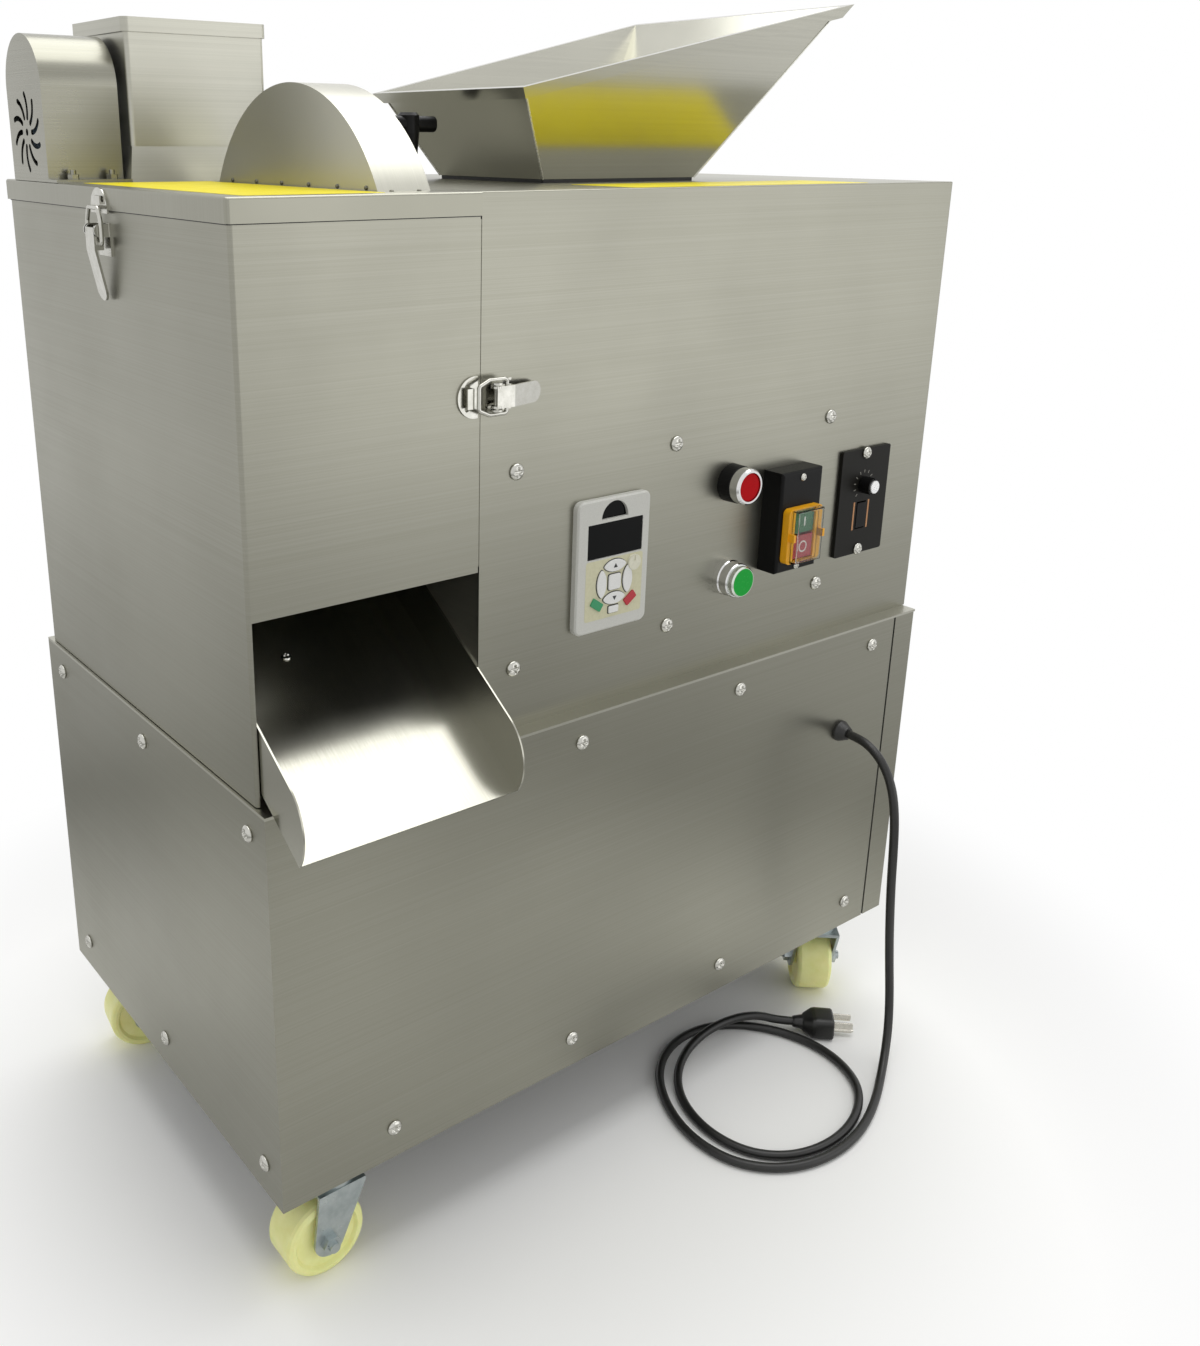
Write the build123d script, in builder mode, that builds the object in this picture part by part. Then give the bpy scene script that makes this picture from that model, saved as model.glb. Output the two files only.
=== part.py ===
"""Dough divider: auger, rotating knife and flour duster in a sheet-metal cabinet on casters.

Millimetres. Origin on the floor under the middle, +X to the hopper end, -Y to the front, +Z up.
"""
import os
from math import cos, pi, radians, sin, tan

from build123d import *

os.makedirs("parts", exist_ok=True)

# Cabinet
cab_length = 644.0
cab_depth = 376.0
lower_height = 300.0
upper_height = 362.4
caster_height = 90.0
front_step = 13.4
back_step = 8.5
left_step = 1.9
right_reach = 4.0
hood_length = 170.5
seam_gap = 1.0
sheet = 1.2
bend = 2.5
mid_wall = 2.0
angle_leg = 30.0
angle_wall = 3.0
flange_width = 27.0
run_gap = 0.05

# Chute
chute_slope = 33.5
chute_wall = 36.0
chute_lip = 32.5
chute_drop = 19.8
chute_run = 338.0
chute_side_gap = 3.1

# Feed train
barrel_y = cab_depth / 2
barrel_up = lower_height + 230.0
barrel_r = 38.0
bore_r = 33.0
drive_room = 164.0
shaft_r = 10.0
flight_gap = 0.6
flight_pitch = 55.0
flight_wall = 4.0
bulkhead_wall = 3.0
upright_wall = 6.0

# Knife and guard
knife_y = barrel_y - 46.0
knife_drop = 53.4
knife_r = 106.0
knife_wall = 2.5
knife_shaft_r = 8.0
guard_r = 117.0
guard_left = 112.0
guard_width = 38.0

# Hopper
hopper_long = 154.4
hopper_inset = 17.0
hopper_half = 64.6
hopper_lift = 2.6
neck_inset = 4.0
foot_out = 2.0
flare_left = 0.626
flare_right = 0.784
flare_side = 0.404
rim_left_up = 64.2
rim_tilt = 12.55
rim_fold = 5.5
rim_lip = 8.0

# Flour duster
flour_x = 112.0
flour_y = cab_depth - 58.5
flour_long = 106.0
flour_deep = 92.0
plinth_height = 23.6
plinth_flare = 4.0
flour_height = 83.0
flour_motor_y = flour_y - 4.0
flour_motor_up = 42.6
arch_r = 35.0
arch_height = 96.6
arch_left = 0.5
arch_right = 54.0

# Controls on the front: from the left side, set out from the right one, and above the lower edge
keypad_spot = (cab_length - 358.0, lower_height + 107.0)
red_spot = (cab_length - 236.0, lower_height + 147.5)
green_spot = (cab_length - 235.0, lower_height + 72.5)
switch_spot = (cab_length - 175.2, lower_height + 111.7)
speed_spot = (cab_length - 77.0, lower_height + 108.6)
gland_spot = (cab_length - 91.0, lower_height - 92.4)

# Casters
wheel_r = 31.5
wheel_width = 32.0
caster_inset_x = 54.0
caster_inset_y = 32.0
trail = 12.0
axle_r = 4.0

cord_d = 7.5

chute_reach = chute_lip + chute_wall * (1 - cos(radians(chute_slope)))
cab_left = -cab_length / 2
cab_right = cab_length / 2
cab_front = -(cab_depth - chute_reach) / 2
cab_back = cab_front + cab_depth
lower_top = caster_height + lower_height
deck_top = lower_top + upper_height
upper_front = cab_front + front_step
upper_back = cab_back - back_step
upper_left = cab_left + left_step
upper_right = cab_right + right_reach
upper_mid = (upper_front + upper_back) / 2
seam = cab_left + hood_length
hood_right = seam - seam_gap / 2
main_left = seam + seam_gap / 2


def across(distance):
    """X of a point measured from the cabinet's left side."""
    return cab_left + distance


def deep(distance):
    """Y of a point measured from the lower front panel."""
    return cab_front + distance


def above(distance):
    """Z of a point measured from the lower edge of the cabinet."""
    return caster_height + distance


def save(builder, label):
    builder.part.label = label
    export_step(builder.part, f"parts/{label}.step")


def slab(x0, x1, y0, y1, z0, z1, mode=Mode.ADD):
    """Box given by its limits."""
    with Locations(((x0 + x1) / 2, (y0 + y1) / 2, (z0 + z1) / 2)):
        Box(x1 - x0, y1 - y0, z1 - z0, mode=mode)


def rod(start, end, radius, mode=Mode.ADD):
    """Round bar between two points."""
    span = Vector(*end) - Vector(*start)
    with Locations(Plane(start, z_dir=span)):
        Cylinder(radius, span.length, align=(Align.CENTER, Align.CENTER, Align.MIN), mode=mode)


def turned(plane, profile, mode=Mode.ADD):
    """Turn a profile of (along, radius) points about the plane's x axis."""
    with BuildSketch(plane) as half:
        with BuildLine():
            Polyline(*profile, close=True)
        make_face()
    revolve(half.sketch, axis=Axis(plane.origin, plane.x_dir), mode=mode)


def lengthwise(y, z):
    """Sketch plane whose x axis runs along X through (y, z), with its y axis up."""
    return Plane(origin=(0, y, z), x_dir=(1, 0, 0), z_dir=(0, -1, 0))


def front_plane(spot, face=None):
    """Plane on the upper front: x to the right, y up, z out of the machine."""
    y = upper_front if face is None else face
    return Plane(origin=(across(spot[0]), y, above(spot[1])), x_dir=(1, 0, 0), z_dir=(0, -1, 0))


barrel_z = above(barrel_up)
barrel_yy = deep(barrel_y)
barrel_left = main_left + bulkhead_wall
barrel_right = cab_right - drive_room
barrel_length = barrel_right - barrel_left
upright_right = barrel_right + upright_wall
knife_yy = deep(knife_y)
knife_z = deck_top - knife_drop
hopper_right = barrel_right - hopper_inset
hopper_left = hopper_right - hopper_long
hopper_mid = (hopper_left + hopper_right) / 2
neck_long = hopper_long - 2 * neck_inset
neck_half = hopper_half - neck_inset
t_knob_x = hopper_left - 73.6
mid_bottom = lower_top - mid_wall

# Base frame: bottom ring, top ring, four posts, corner plates for the casters
frame_long = cab_length - 2 * sheet
frame_deep = cab_depth - 2 * sheet
corner_plate = (96.0, 68.0)
frame_mid = (0, cab_front + cab_depth / 2)
with BuildPart() as base_frame:
    for ring_z, ring_height in (
        (caster_height, angle_wall),
        (mid_bottom - angle_wall, angle_wall),
    ):
        with BuildSketch(Plane.XY.offset(ring_z)):
            with Locations(frame_mid):
                Rectangle(frame_long, frame_deep)
                Rectangle(frame_long - 2 * angle_leg, frame_deep - 2 * angle_leg, mode=Mode.SUBTRACT)
        extrude(amount=ring_height)
    for ring_z in (caster_height, mid_bottom - angle_leg):
        with BuildSketch(Plane.XY.offset(ring_z)):
            with Locations(frame_mid):
                Rectangle(frame_long, frame_deep)
                Rectangle(frame_long - 2 * angle_wall, frame_deep - 2 * angle_wall, mode=Mode.SUBTRACT)
        extrude(amount=angle_leg)
    for side in (-1, 1):
        for end in (-1, 1):
            corner_x = side * frame_long / 2
            corner_y = frame_mid[1] + end * frame_deep / 2
            for leg_x, leg_y in ((angle_leg, angle_wall), (angle_wall, angle_leg)):
                xs = sorted((corner_x, corner_x - side * leg_x))
                ys = sorted((corner_y, corner_y - end * leg_y))
                slab(*xs, *ys, caster_height, mid_bottom)
            xs = sorted((corner_x, corner_x - side * corner_plate[0]))
            ys = sorted((corner_y, corner_y - end * corner_plate[1]))
            slab(*xs, *ys, caster_height, caster_height + angle_wall)
save(base_frame, "base_frame")

# Inner frame: mid deck, bulkhead between chamber and drive, upright for the gear motor
upright_half = 80.0
motor_r = 52.0
motor_x = upright_right + motor_r + 6.0
boss_hole = 15.5
nozzle_spigot = bore_r + 0.5
with BuildPart() as inner_frame:
    slab(cab_left, cab_right, cab_front, cab_back, mid_bottom, lower_top)
    slab(main_left, barrel_left, upper_front + sheet, upper_back - sheet, lower_top, deck_top - sheet)
    slab(
        barrel_right,
        upright_right,
        barrel_yy - upright_half,
        barrel_yy + upright_half,
        lower_top,
        barrel_z + 60,
    )
    rod((motor_x, barrel_yy, mid_bottom - 1), (motor_x, barrel_yy, lower_top + 1), motor_r + 5, Mode.SUBTRACT)
    for start, end, y, z, radius in (
        (main_left, barrel_left, barrel_yy, barrel_z, nozzle_spigot + 0.4),
        (main_left, barrel_left, knife_yy, knife_z, boss_hole),
        (barrel_right, upright_right, barrel_yy, barrel_z, shaft_r + 2),
    ):
        rod((start - 1, y, z), (end + 1, y, z), radius, Mode.SUBTRACT)
save(inner_frame, "inner_frame")

# Lower panels
panel_seam = 2.2
flange_left = cab_right - flange_width
gland_x = across(gland_spot[0])
gland_z = above(gland_spot[1])
gland_r = 6.9
with BuildPart() as lower_front_panel:
    slab(cab_left, flange_left - panel_seam, cab_front, cab_front + sheet, caster_height, mid_bottom)
    with Locations((gland_x, cab_front, gland_z)):
        with Locations(Rot(90, 0, 0)):
            Cylinder(gland_r + 0.4, 4 * sheet, mode=Mode.SUBTRACT)
save(lower_front_panel, "lower_front_panel")

with BuildPart() as lower_left_panel:
    slab(cab_left, cab_left + sheet, cab_front + sheet, cab_back - sheet, caster_height, mid_bottom)
save(lower_left_panel, "lower_left_panel")

with BuildPart() as lower_right_panel:
    slab(cab_right - sheet, cab_right, cab_front, cab_back, caster_height, mid_bottom)
    slab(flange_left, cab_right, cab_front, cab_front + sheet, caster_height, mid_bottom)
    fillet(lower_right_panel.edges().filter_by(Axis.Z).group_by(Axis.Y)[0].group_by(Axis.X)[-1], bend)
save(lower_right_panel, "lower_right_panel")

vent_columns = 4
vent_rows = 6
vent_pitch = (cab_length / 7, 16.0)
vent_slot = (64.0, 6.0)
with BuildPart() as lower_back_panel:
    slab(cab_left, cab_right - sheet, cab_back - sheet, cab_back, caster_height, mid_bottom)
    back_face = Plane(origin=(0, cab_back, above(lower_height / 2)), x_dir=(-1, 0, 0), z_dir=(0, 1, 0))
    with BuildSketch(back_face):
        with GridLocations(*vent_pitch, vent_columns, vent_rows):
            SlotOverall(*vent_slot)
    extrude(amount=-2 * sheet, mode=Mode.SUBTRACT)
save(lower_back_panel, "lower_back_panel")

# Main shell: one folded sheet round the front, right and back
shell_height = upper_height - sheet
keypad_hole = (60.0, 86.0)
switch_hole = (38.0, 66.0)
speed_hole = (54.0, 70.0)
button_hole = 11.1
with BuildPart() as main_shell:
    with BuildSketch(Plane.XY.offset(lower_top)) as shell_outline:
        with Locations(((main_left + upper_right) / 2, upper_mid)):
            Rectangle(upper_right - main_left, upper_back - upper_front)
        fillet(shell_outline.vertices().group_by(Axis.X)[-1], bend)
        with Locations(((main_left + upper_right) / 2 - sheet, upper_mid)):
            Rectangle(upper_right - main_left, upper_back - upper_front - 2 * sheet, mode=Mode.SUBTRACT)
    extrude(amount=shell_height)
    for spot, hole in ((keypad_spot, keypad_hole), (switch_spot, switch_hole), (speed_spot, speed_hole)):
        with BuildSketch(front_plane(spot)):
            Rectangle(*hole)
        extrude(amount=-2 * sheet, mode=Mode.SUBTRACT)
    for spot in (red_spot, green_spot):
        with BuildSketch(front_plane(spot)):
            Circle(button_hole)
        extrude(amount=-2 * sheet, mode=Mode.SUBTRACT)
save(main_shell, "main_shell")

# Deck, with the tongue and the half-moon that closes the open side of the knife guard
neck_gap = 0.4
deck_bend = 1.0
stem_r = 5.0
slot_half = 102.0
tongue_half = 98.0
moon_r = 112.0
moon_left = across(147.0)
with BuildPart() as top_deck:
    with BuildSketch(Plane.XY.offset(deck_top - sheet)) as deck_outline:
        with Locations(((main_left + upper_right) / 2, upper_mid)):
            Rectangle(upper_right - main_left, upper_back - upper_front)
        fillet(deck_outline.vertices().group_by(Axis.X)[-1], bend)
        with Locations(((moon_left + main_left) / 2, knife_yy)):
            Rectangle(main_left - moon_left, 2 * tongue_half)
        with Locations((hopper_mid, barrel_yy)):
            Rectangle(neck_long + 2 * neck_gap, 2 * (neck_half + neck_gap), mode=Mode.SUBTRACT)
        with Locations((t_knob_x, barrel_yy)):
            Circle(stem_r + 0.6, mode=Mode.SUBTRACT)
    extrude(amount=sheet)
    upper_edges = top_deck.edges().filter_by(Axis.X).group_by(Axis.Z)[-1].sort_by(Axis.Y)
    fillet((upper_edges[0], upper_edges[-1]), deck_bend)
    with BuildSketch(Plane.YZ.offset(moon_left)):
        with Locations((knife_yy, knife_z)):
            Circle(moon_r)
        with Locations((knife_yy, deck_top - sheet - moon_r)):
            Rectangle(3 * moon_r, 2 * moon_r, mode=Mode.SUBTRACT)
    extrude(amount=sheet)
save(top_deck, "top_deck")

# Hinges of the hood: leaves and pins on the main shell
hinge_out = 5.0
knuckle_r = 4.5
pin_r = 2.5
hinge_tall = 60.0
knuckle = hinge_tall / 3
axial_gap = 0.4
leaf_wall = 2.0
leaf_width = 32.0
leaf_start = 6.0
hinge_y = upper_back + hinge_out
hinge_bottoms = (lower_top + 40, deck_top - 120)
with BuildPart() as shell_hinges:
    for low in hinge_bottoms:
        high = low + hinge_tall
        slab(seam + leaf_start, seam + leaf_width, upper_back, upper_back + leaf_wall, low, high)
        for start in (low, low + 2 * knuckle):
            slab(seam, seam + leaf_start, upper_back, upper_back + leaf_wall, start, start + knuckle)
            rod((seam, hinge_y, start), (seam, hinge_y, start + knuckle), knuckle_r)
        rod((seam, hinge_y, low), (seam, hinge_y, low + hinge_tall), pin_r)
save(shell_hinges, "shell_hinges")

# Hood: folded sheet round the front, left and back, with its hinge leaves
outlet_top = lower_top + 121.0
hood_lift = 0.6
lid_gap = 0.3
lid_pin_r = 2.0
lid_knuckle_r = 4.0
lid_hinge_out = 5.0
lid_hinge_drop = 4.6
lid_hinge_long = 36.0
lid_knuckle = lid_hinge_long / 3
lid_leaf = 36.0
lid_axis_y = upper_back + lid_hinge_out
lid_axis_z = deck_top - lid_hinge_drop
lid_hinge_starts = (across(22.0), across(92.0))
with BuildPart() as hood_shell:
    with BuildSketch(Plane.XY.offset(lower_top + hood_lift)) as hood_outline:
        with Locations(((upper_left + hood_right) / 2, upper_mid)):
            Rectangle(hood_right - upper_left, upper_back - upper_front)
        fillet(hood_outline.vertices().group_by(Axis.X)[0], bend)
        with Locations(((upper_left + hood_right) / 2 + sheet, upper_mid)):
            Rectangle(hood_right - upper_left, upper_back - upper_front - 2 * sheet, mode=Mode.SUBTRACT)
    extrude(amount=upper_height - sheet - lid_gap - hood_lift)
    slab(
        upper_left + bend,
        hood_right + 1,
        upper_front - 1,
        upper_front + bend,
        lower_top,
        outlet_top,
        Mode.SUBTRACT,
    )
    for low in hinge_bottoms:
        high = low + hinge_tall
        slab(seam - leaf_width, seam - leaf_start, upper_back, upper_back + leaf_wall, low, high)
        mid_low = low + knuckle + axial_gap
        mid_high = low + 2 * knuckle - axial_gap
        slab(seam - leaf_start, seam, upper_back, upper_back + leaf_wall, mid_low, mid_high)
        rod((seam, hinge_y, mid_low), (seam, hinge_y, mid_high), knuckle_r)
        rod((seam, hinge_y, mid_low), (seam, hinge_y, mid_high), pin_r + run_gap, Mode.SUBTRACT)
    for start in lid_hinge_starts:
        end = start + lid_hinge_long
        leaf_top = lid_axis_z - 6
        slab(start, end, upper_back, upper_back + leaf_wall, lid_axis_z - lid_leaf, leaf_top)
        for first in (start, start + 2 * lid_knuckle):
            last = first + lid_knuckle
            slab(first, last, upper_back, upper_back + leaf_wall, leaf_top, lid_axis_z)
            rod((first, lid_axis_y, lid_axis_z), (last, lid_axis_y, lid_axis_z), lid_knuckle_r)
        rod((start, lid_axis_y, lid_axis_z), (end, lid_axis_y, lid_axis_z), lid_pin_r)
save(hood_shell, "hood_shell")

# Lid of the hood
skirt_out = 2.0
skirt = 14.0
lid_bend = 1.8
lid_front = upper_front - skirt_out
lid_left = upper_left - skirt_out
slot_left = across(guard_left) + 1.5
flour_hole = (78.0, 60.0)
with BuildPart() as lid:
    slab(lid_left, hood_right, lid_front, upper_back, deck_top - sheet, deck_top)
    slab(lid_left, hood_right, lid_front, lid_front + sheet, deck_top - skirt, deck_top)
    slab(lid_left, lid_left + sheet, lid_front, upper_back, deck_top - skirt, deck_top)
    fillet(lid.edges().filter_by(Axis.Z).group_by(Axis.Y)[0].group_by(Axis.X)[0], bend)
    fillet(lid.edges().group_by(Axis.Z)[-1].filter_by(Axis.X).sort_by(Axis.Y)[0], lid_bend)
    for start in lid_hinge_starts:
        first = (start + lid_knuckle + axial_gap, lid_axis_y, lid_axis_z)
        last = (start + 2 * lid_knuckle - axial_gap, lid_axis_y, lid_axis_z)
        slab(first[0], last[0], upper_back - 1, lid_axis_y, deck_top - sheet, deck_top)
        rod(first, last, lid_knuckle_r)
        rod(first, last, lid_pin_r + run_gap, Mode.SUBTRACT)
    slab(
        slot_left,
        hood_right + 1,
        knife_yy - slot_half,
        knife_yy + slot_half,
        deck_top - 5,
        deck_top + 1,
        Mode.SUBTRACT,
    )
    slab(
        across(flour_x) - flour_hole[0] / 2,
        across(flour_x) + flour_hole[0] / 2,
        deep(flour_y) - flour_hole[1] / 2,
        deep(flour_y) + flour_hole[1] / 2,
        deck_top - 5,
        deck_top + 1,
        Mode.SUBTRACT,
    )
save(lid, "lid")

# Knife guard on the lid: half a drum, open on the right
with BuildPart() as knife_guard:
    with BuildSketch(Plane.YZ.offset(across(guard_left))):
        with Locations((knife_yy, knife_z)):
            Circle(guard_r)
        with Locations((knife_yy, deck_top - guard_r)):
            Rectangle(3 * guard_r, 2 * guard_r, mode=Mode.SUBTRACT)
    extrude(amount=guard_width)
    with BuildSketch(Plane.YZ.offset(across(guard_left) + sheet)):
        with Locations((knife_yy, knife_z)):
            Circle(guard_r - sheet)
    extrude(amount=guard_width, mode=Mode.SUBTRACT)
save(knife_guard, "knife_guard")

# Flour box on its flared plinth, with a slotted sieve floor
box_low = deck_top + plinth_height
box_top = box_low + flour_height
agitator_y = deep(flour_motor_y)
agitator_z = deck_top + flour_motor_up
agitator_r = 4.0
sieve_wall = 1.5
flour_left = across(flour_x) - flour_long / 2
flour_right = across(flour_x) + flour_long / 2
with BuildPart() as flour_box:
    for inset, mode in ((0.0, Mode.ADD), (sheet, Mode.SUBTRACT)):
        for height, grow in ((deck_top, plinth_flare - inset), (box_low, -inset)):
            with BuildSketch(Plane.XY.offset(height)):
                with Locations((across(flour_x), deep(flour_y))):
                    Rectangle(flour_long + 2 * grow, flour_deep + 2 * grow)
        loft(mode=mode)
    with BuildSketch(Plane.XY.offset(box_low)):
        with Locations((across(flour_x), deep(flour_y))):
            RectangleRounded(flour_long, flour_deep, 3)
            RectangleRounded(flour_long - 2 * sheet, flour_deep - 2 * sheet, 3 - sheet, mode=Mode.SUBTRACT)
    extrude(amount=flour_height)
    with BuildSketch(Plane.XY.offset(box_low)):
        with Locations((across(flour_x), deep(flour_y))):
            Rectangle(flour_long - 2, flour_deep - 2)
            with GridLocations(0, 9, 1, 6):
                SlotOverall(68, 3, mode=Mode.SUBTRACT)
    extrude(amount=sieve_wall)
    with Locations((flour_left, agitator_y, agitator_z)):
        with Locations(Rot(0, 90, 0)):
            Cylinder(agitator_r + run_gap, 4 * sheet, mode=Mode.SUBTRACT)
save(flour_box, "flour_box")

cap_skirt = 8.3
cap_gap = 0.6
with BuildPart() as flour_box_lid:
    with BuildSketch(Plane.XY.offset(box_top - cap_skirt)):
        with Locations((across(flour_x), deep(flour_y))):
            RectangleRounded(flour_long + 2 * (cap_gap + sheet), flour_deep + 2 * (cap_gap + sheet), 4.5)
    extrude(amount=cap_skirt + sheet)
    with BuildSketch(Plane.XY.offset(box_top - cap_skirt)):
        with Locations((across(flour_x), deep(flour_y))):
            RectangleRounded(flour_long + 2 * cap_gap, flour_deep + 2 * cap_gap, 3.6)
    extrude(amount=cap_skirt, mode=Mode.SUBTRACT)
save(flour_box_lid, "flour_box_lid")

# Flour motor under its vented arch cover
arch_z = deck_top + arch_height - arch_r
foot = 16.0
foot_wall = 2.0
vent_up = 32.5
vent_in = 10.0
vent_out = 25.0
vent_twist = radians(17)
petal_count = 10
petal_width = 3.6
petal = RadiusArc((vent_in, 0), (vent_out * cos(vent_twist), -vent_out * sin(vent_twist)), 16)
nut_r = 4.0
nut_wall = 3.2
stud_r = 2.0
stud_high = 6.2
with BuildPart() as flour_motor_cover:
    for inset, start, mode in ((0.0, arch_left, Mode.ADD), (sheet, arch_left + sheet, Mode.SUBTRACT)):
        with BuildSketch(Plane.YZ.offset(across(start))):
            with Locations((agitator_y, arch_z)):
                Circle(arch_r - inset)
            with Locations((agitator_y, (deck_top + arch_z) / 2)):
                Rectangle(2 * (arch_r - inset), arch_z - deck_top)
        extrude(amount=across(arch_right) - across(start), mode=mode)
    foot_front = agitator_y - arch_r - foot
    slab(across(arch_left), across(arch_right), foot_front, agitator_y - arch_r, deck_top, deck_top + foot_wall)
    with BuildSketch(Plane.YZ.offset(across(arch_left))):
        with Locations((agitator_y, deck_top + vent_up)):
            Circle(2.4)
            with PolarLocations(0, petal_count):
                SlotArc(petal, petal_width)
    extrude(amount=2 * sheet, mode=Mode.SUBTRACT)
    for nut_x in (arch_left + 14.5, arch_left + 42):
        nut_spot = (across(nut_x), agitator_y - arch_r - foot / 2)
        with BuildSketch(Plane.XY.offset(deck_top + foot_wall)):
            with Locations(nut_spot):
                RegularPolygon(nut_r, 6)
        extrude(amount=nut_wall)
        rod((*nut_spot, deck_top), (*nut_spot, deck_top + foot_wall + stud_high), stud_r)
save(flour_motor_cover, "flour_motor_cover")

flour_motor_r = 26.0
flour_motor_left = across(arch_left + 9)
flour_motor_right = across(arch_right - 2)
with BuildPart() as flour_motor:
    left, right = flour_motor_left, flour_motor_right
    rod((left, agitator_y, agitator_z), (right, agitator_y, agitator_z), flour_motor_r)
    slab(left + 6, right - 6, agitator_y - 20, agitator_y + 20, deck_top, agitator_z)
    rod(
        (flour_motor_right - 14, agitator_y, agitator_z),
        (flour_motor_right + 1, agitator_y, agitator_z),
        agitator_r + run_gap,
        Mode.SUBTRACT,
    )
save(flour_motor, "flour_motor")

paddle_r = 15.0
with BuildPart() as flour_agitator:
    shaft_end = flour_right - sheet - 2
    rod((flour_motor_right - 13, agitator_y, agitator_z), (shaft_end, agitator_y, agitator_z), agitator_r)
    for row in range(4):
        paddle_x = flour_left + 14 + row * 21
        with BuildSketch(Plane.YZ.offset(paddle_x)):
            with Locations((agitator_y, agitator_z)):
                with Locations(Rot(0, 0, 45 * row)):
                    Rectangle(2 * paddle_r, 5)
        extrude(amount=6)
save(flour_agitator, "flour_agitator")

# Chute: open tray fixed to the bulkhead
slope = radians(chute_slope)
chute_plane = Plane(
    origin=(upper_left + chute_side_gap, cab_front - chute_lip, lower_top - chute_drop),
    x_dir=(0, cos(slope), sin(slope)),
    z_dir=(1, 0, 0),
)
chute_width = main_left - (upper_left + chute_side_gap)
with BuildPart() as chute:
    with BuildSketch(chute_plane):
        with BuildLine():
            Line((chute_wall, chute_wall), (chute_run, chute_wall))
            Line((chute_run, chute_wall), (chute_run, 0))
            Line((chute_run, 0), (0, 0))
            RadiusArc((0, 0), (chute_wall, chute_wall), chute_wall)
        make_face()
    extrude(amount=chute_width)
    with BuildSketch(chute_plane.offset(sheet)):
        with Locations((chute_run / 2, sheet + chute_wall)):
            Rectangle(2 * chute_run, 2 * chute_wall)
    extrude(amount=chute_width - 2 * sheet, mode=Mode.SUBTRACT)
save(chute, "chute")

# Hopper: flared sheet funnel with a sloping folded rim
hopper_z = deck_top + hopper_lift
hopper_high = 150.0


def funnel(grow, mode=Mode.ADD):
    """Solid of the hopper's flare, grown outwards by an offset."""
    sections = []
    for height in (-4.0, hopper_high):
        left = hopper_left - flare_left * height - grow
        right = hopper_right + flare_right * height + grow
        half = hopper_half + flare_side * height + grow
        with BuildSketch(Plane.XY.offset(hopper_z + height)) as section:
            with Locations(((left + right) / 2, barrel_yy)):
                Rectangle(right - left, 2 * half)
        sections.append(section.sketch.face())
    loft(sections, mode=mode)


tilt = radians(rim_tilt)
rim_plane = Plane(
    origin=(hopper_left - flare_left * rim_left_up, barrel_yy, deck_top + rim_left_up),
    x_dir=(cos(tilt), 0, sin(tilt)),
    z_dir=(-sin(tilt), 0, cos(tilt)),
)
with BuildPart() as rim_channel:
    funnel(rim_fold - sheet)
    split(bisect_by=rim_plane.offset(-sheet), keep=Keep.BOTTOM)

with BuildPart() as hopper_rim:
    funnel(rim_fold)
    split(bisect_by=rim_plane, keep=Keep.BOTTOM)
    split(bisect_by=rim_plane.offset(-rim_lip), keep=Keep.TOP)
    add(rim_channel.part, mode=Mode.SUBTRACT)

neck_low = deck_top - 6.0
with BuildPart() as hopper:
    funnel(0)
    split(bisect_by=rim_plane, keep=Keep.BOTTOM)
    split(bisect_by=Plane.XY.offset(hopper_z), keep=Keep.TOP)
    add(hopper_rim.part)
    funnel(-sheet, Mode.SUBTRACT)
    for low, high, grow in (
        (neck_low, hopper_z, 0.0),
        (deck_top, hopper_z, foot_out),
        (hopper_z, hopper_z + sheet, neck_inset),
    ):
        with BuildSketch(Plane.XY.offset(low)):
            with Locations((hopper_mid, barrel_yy)):
                Rectangle(neck_long + 2 * grow, 2 * (neck_half + grow))
                Rectangle(neck_long - 2 * sheet, 2 * (neck_half - sheet), mode=Mode.SUBTRACT)
        extrude(amount=high - low)
save(hopper, "hopper")

# Barrel with feed throat, nozzle, auger
throat_top = deck_top - sheet
throat_gap = 2.5
throat_slot = (110.0, 60.0)
throat_low = barrel_z + 22.0
flange_r = 41.0
flange_wall = 6.0
boss_r = 9.0
boss_top = barrel_z + barrel_r + 18.0


def throat(grow, mode=Mode.ADD):
    """Feed throat from the barrel up to the deck, grown outwards by an offset."""
    top_size = (neck_long + 2 * throat_gap, 2 * (neck_half + throat_gap))
    sections = []
    for height, size in ((throat_low, throat_slot), (throat_top, top_size)):
        with BuildSketch(Plane.XY.offset(height)) as section:
            with Locations((hopper_mid, barrel_yy)):
                Rectangle(size[0] + 2 * grow, size[1] + 2 * grow)
        sections.append(section.sketch.face())
    loft(sections, mode=mode)


with BuildPart() as barrel:
    rod((barrel_left, barrel_yy, barrel_z), (barrel_right, barrel_yy, barrel_z), barrel_r)
    rod((barrel_left, barrel_yy, barrel_z), (barrel_left + flange_wall, barrel_yy, barrel_z), flange_r)
    rod((barrel_right - flange_wall, barrel_yy, barrel_z), (barrel_right, barrel_yy, barrel_z), flange_r)
    rod((t_knob_x, barrel_yy, barrel_z), (t_knob_x, barrel_yy, boss_top), boss_r)
    throat(2.0)
    bore_start = (barrel_left - 1, barrel_yy, barrel_z)
    rod(bore_start, (barrel_right + 1, barrel_yy, barrel_z), bore_r, Mode.SUBTRACT)
    throat(0.0, Mode.SUBTRACT)
    stem_start = (t_knob_x, barrel_yy, boss_top - 15)
    rod(stem_start, (t_knob_x, barrel_yy, boss_top + 1), stem_r + run_gap, Mode.SUBTRACT)
save(barrel, "barrel")

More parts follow.
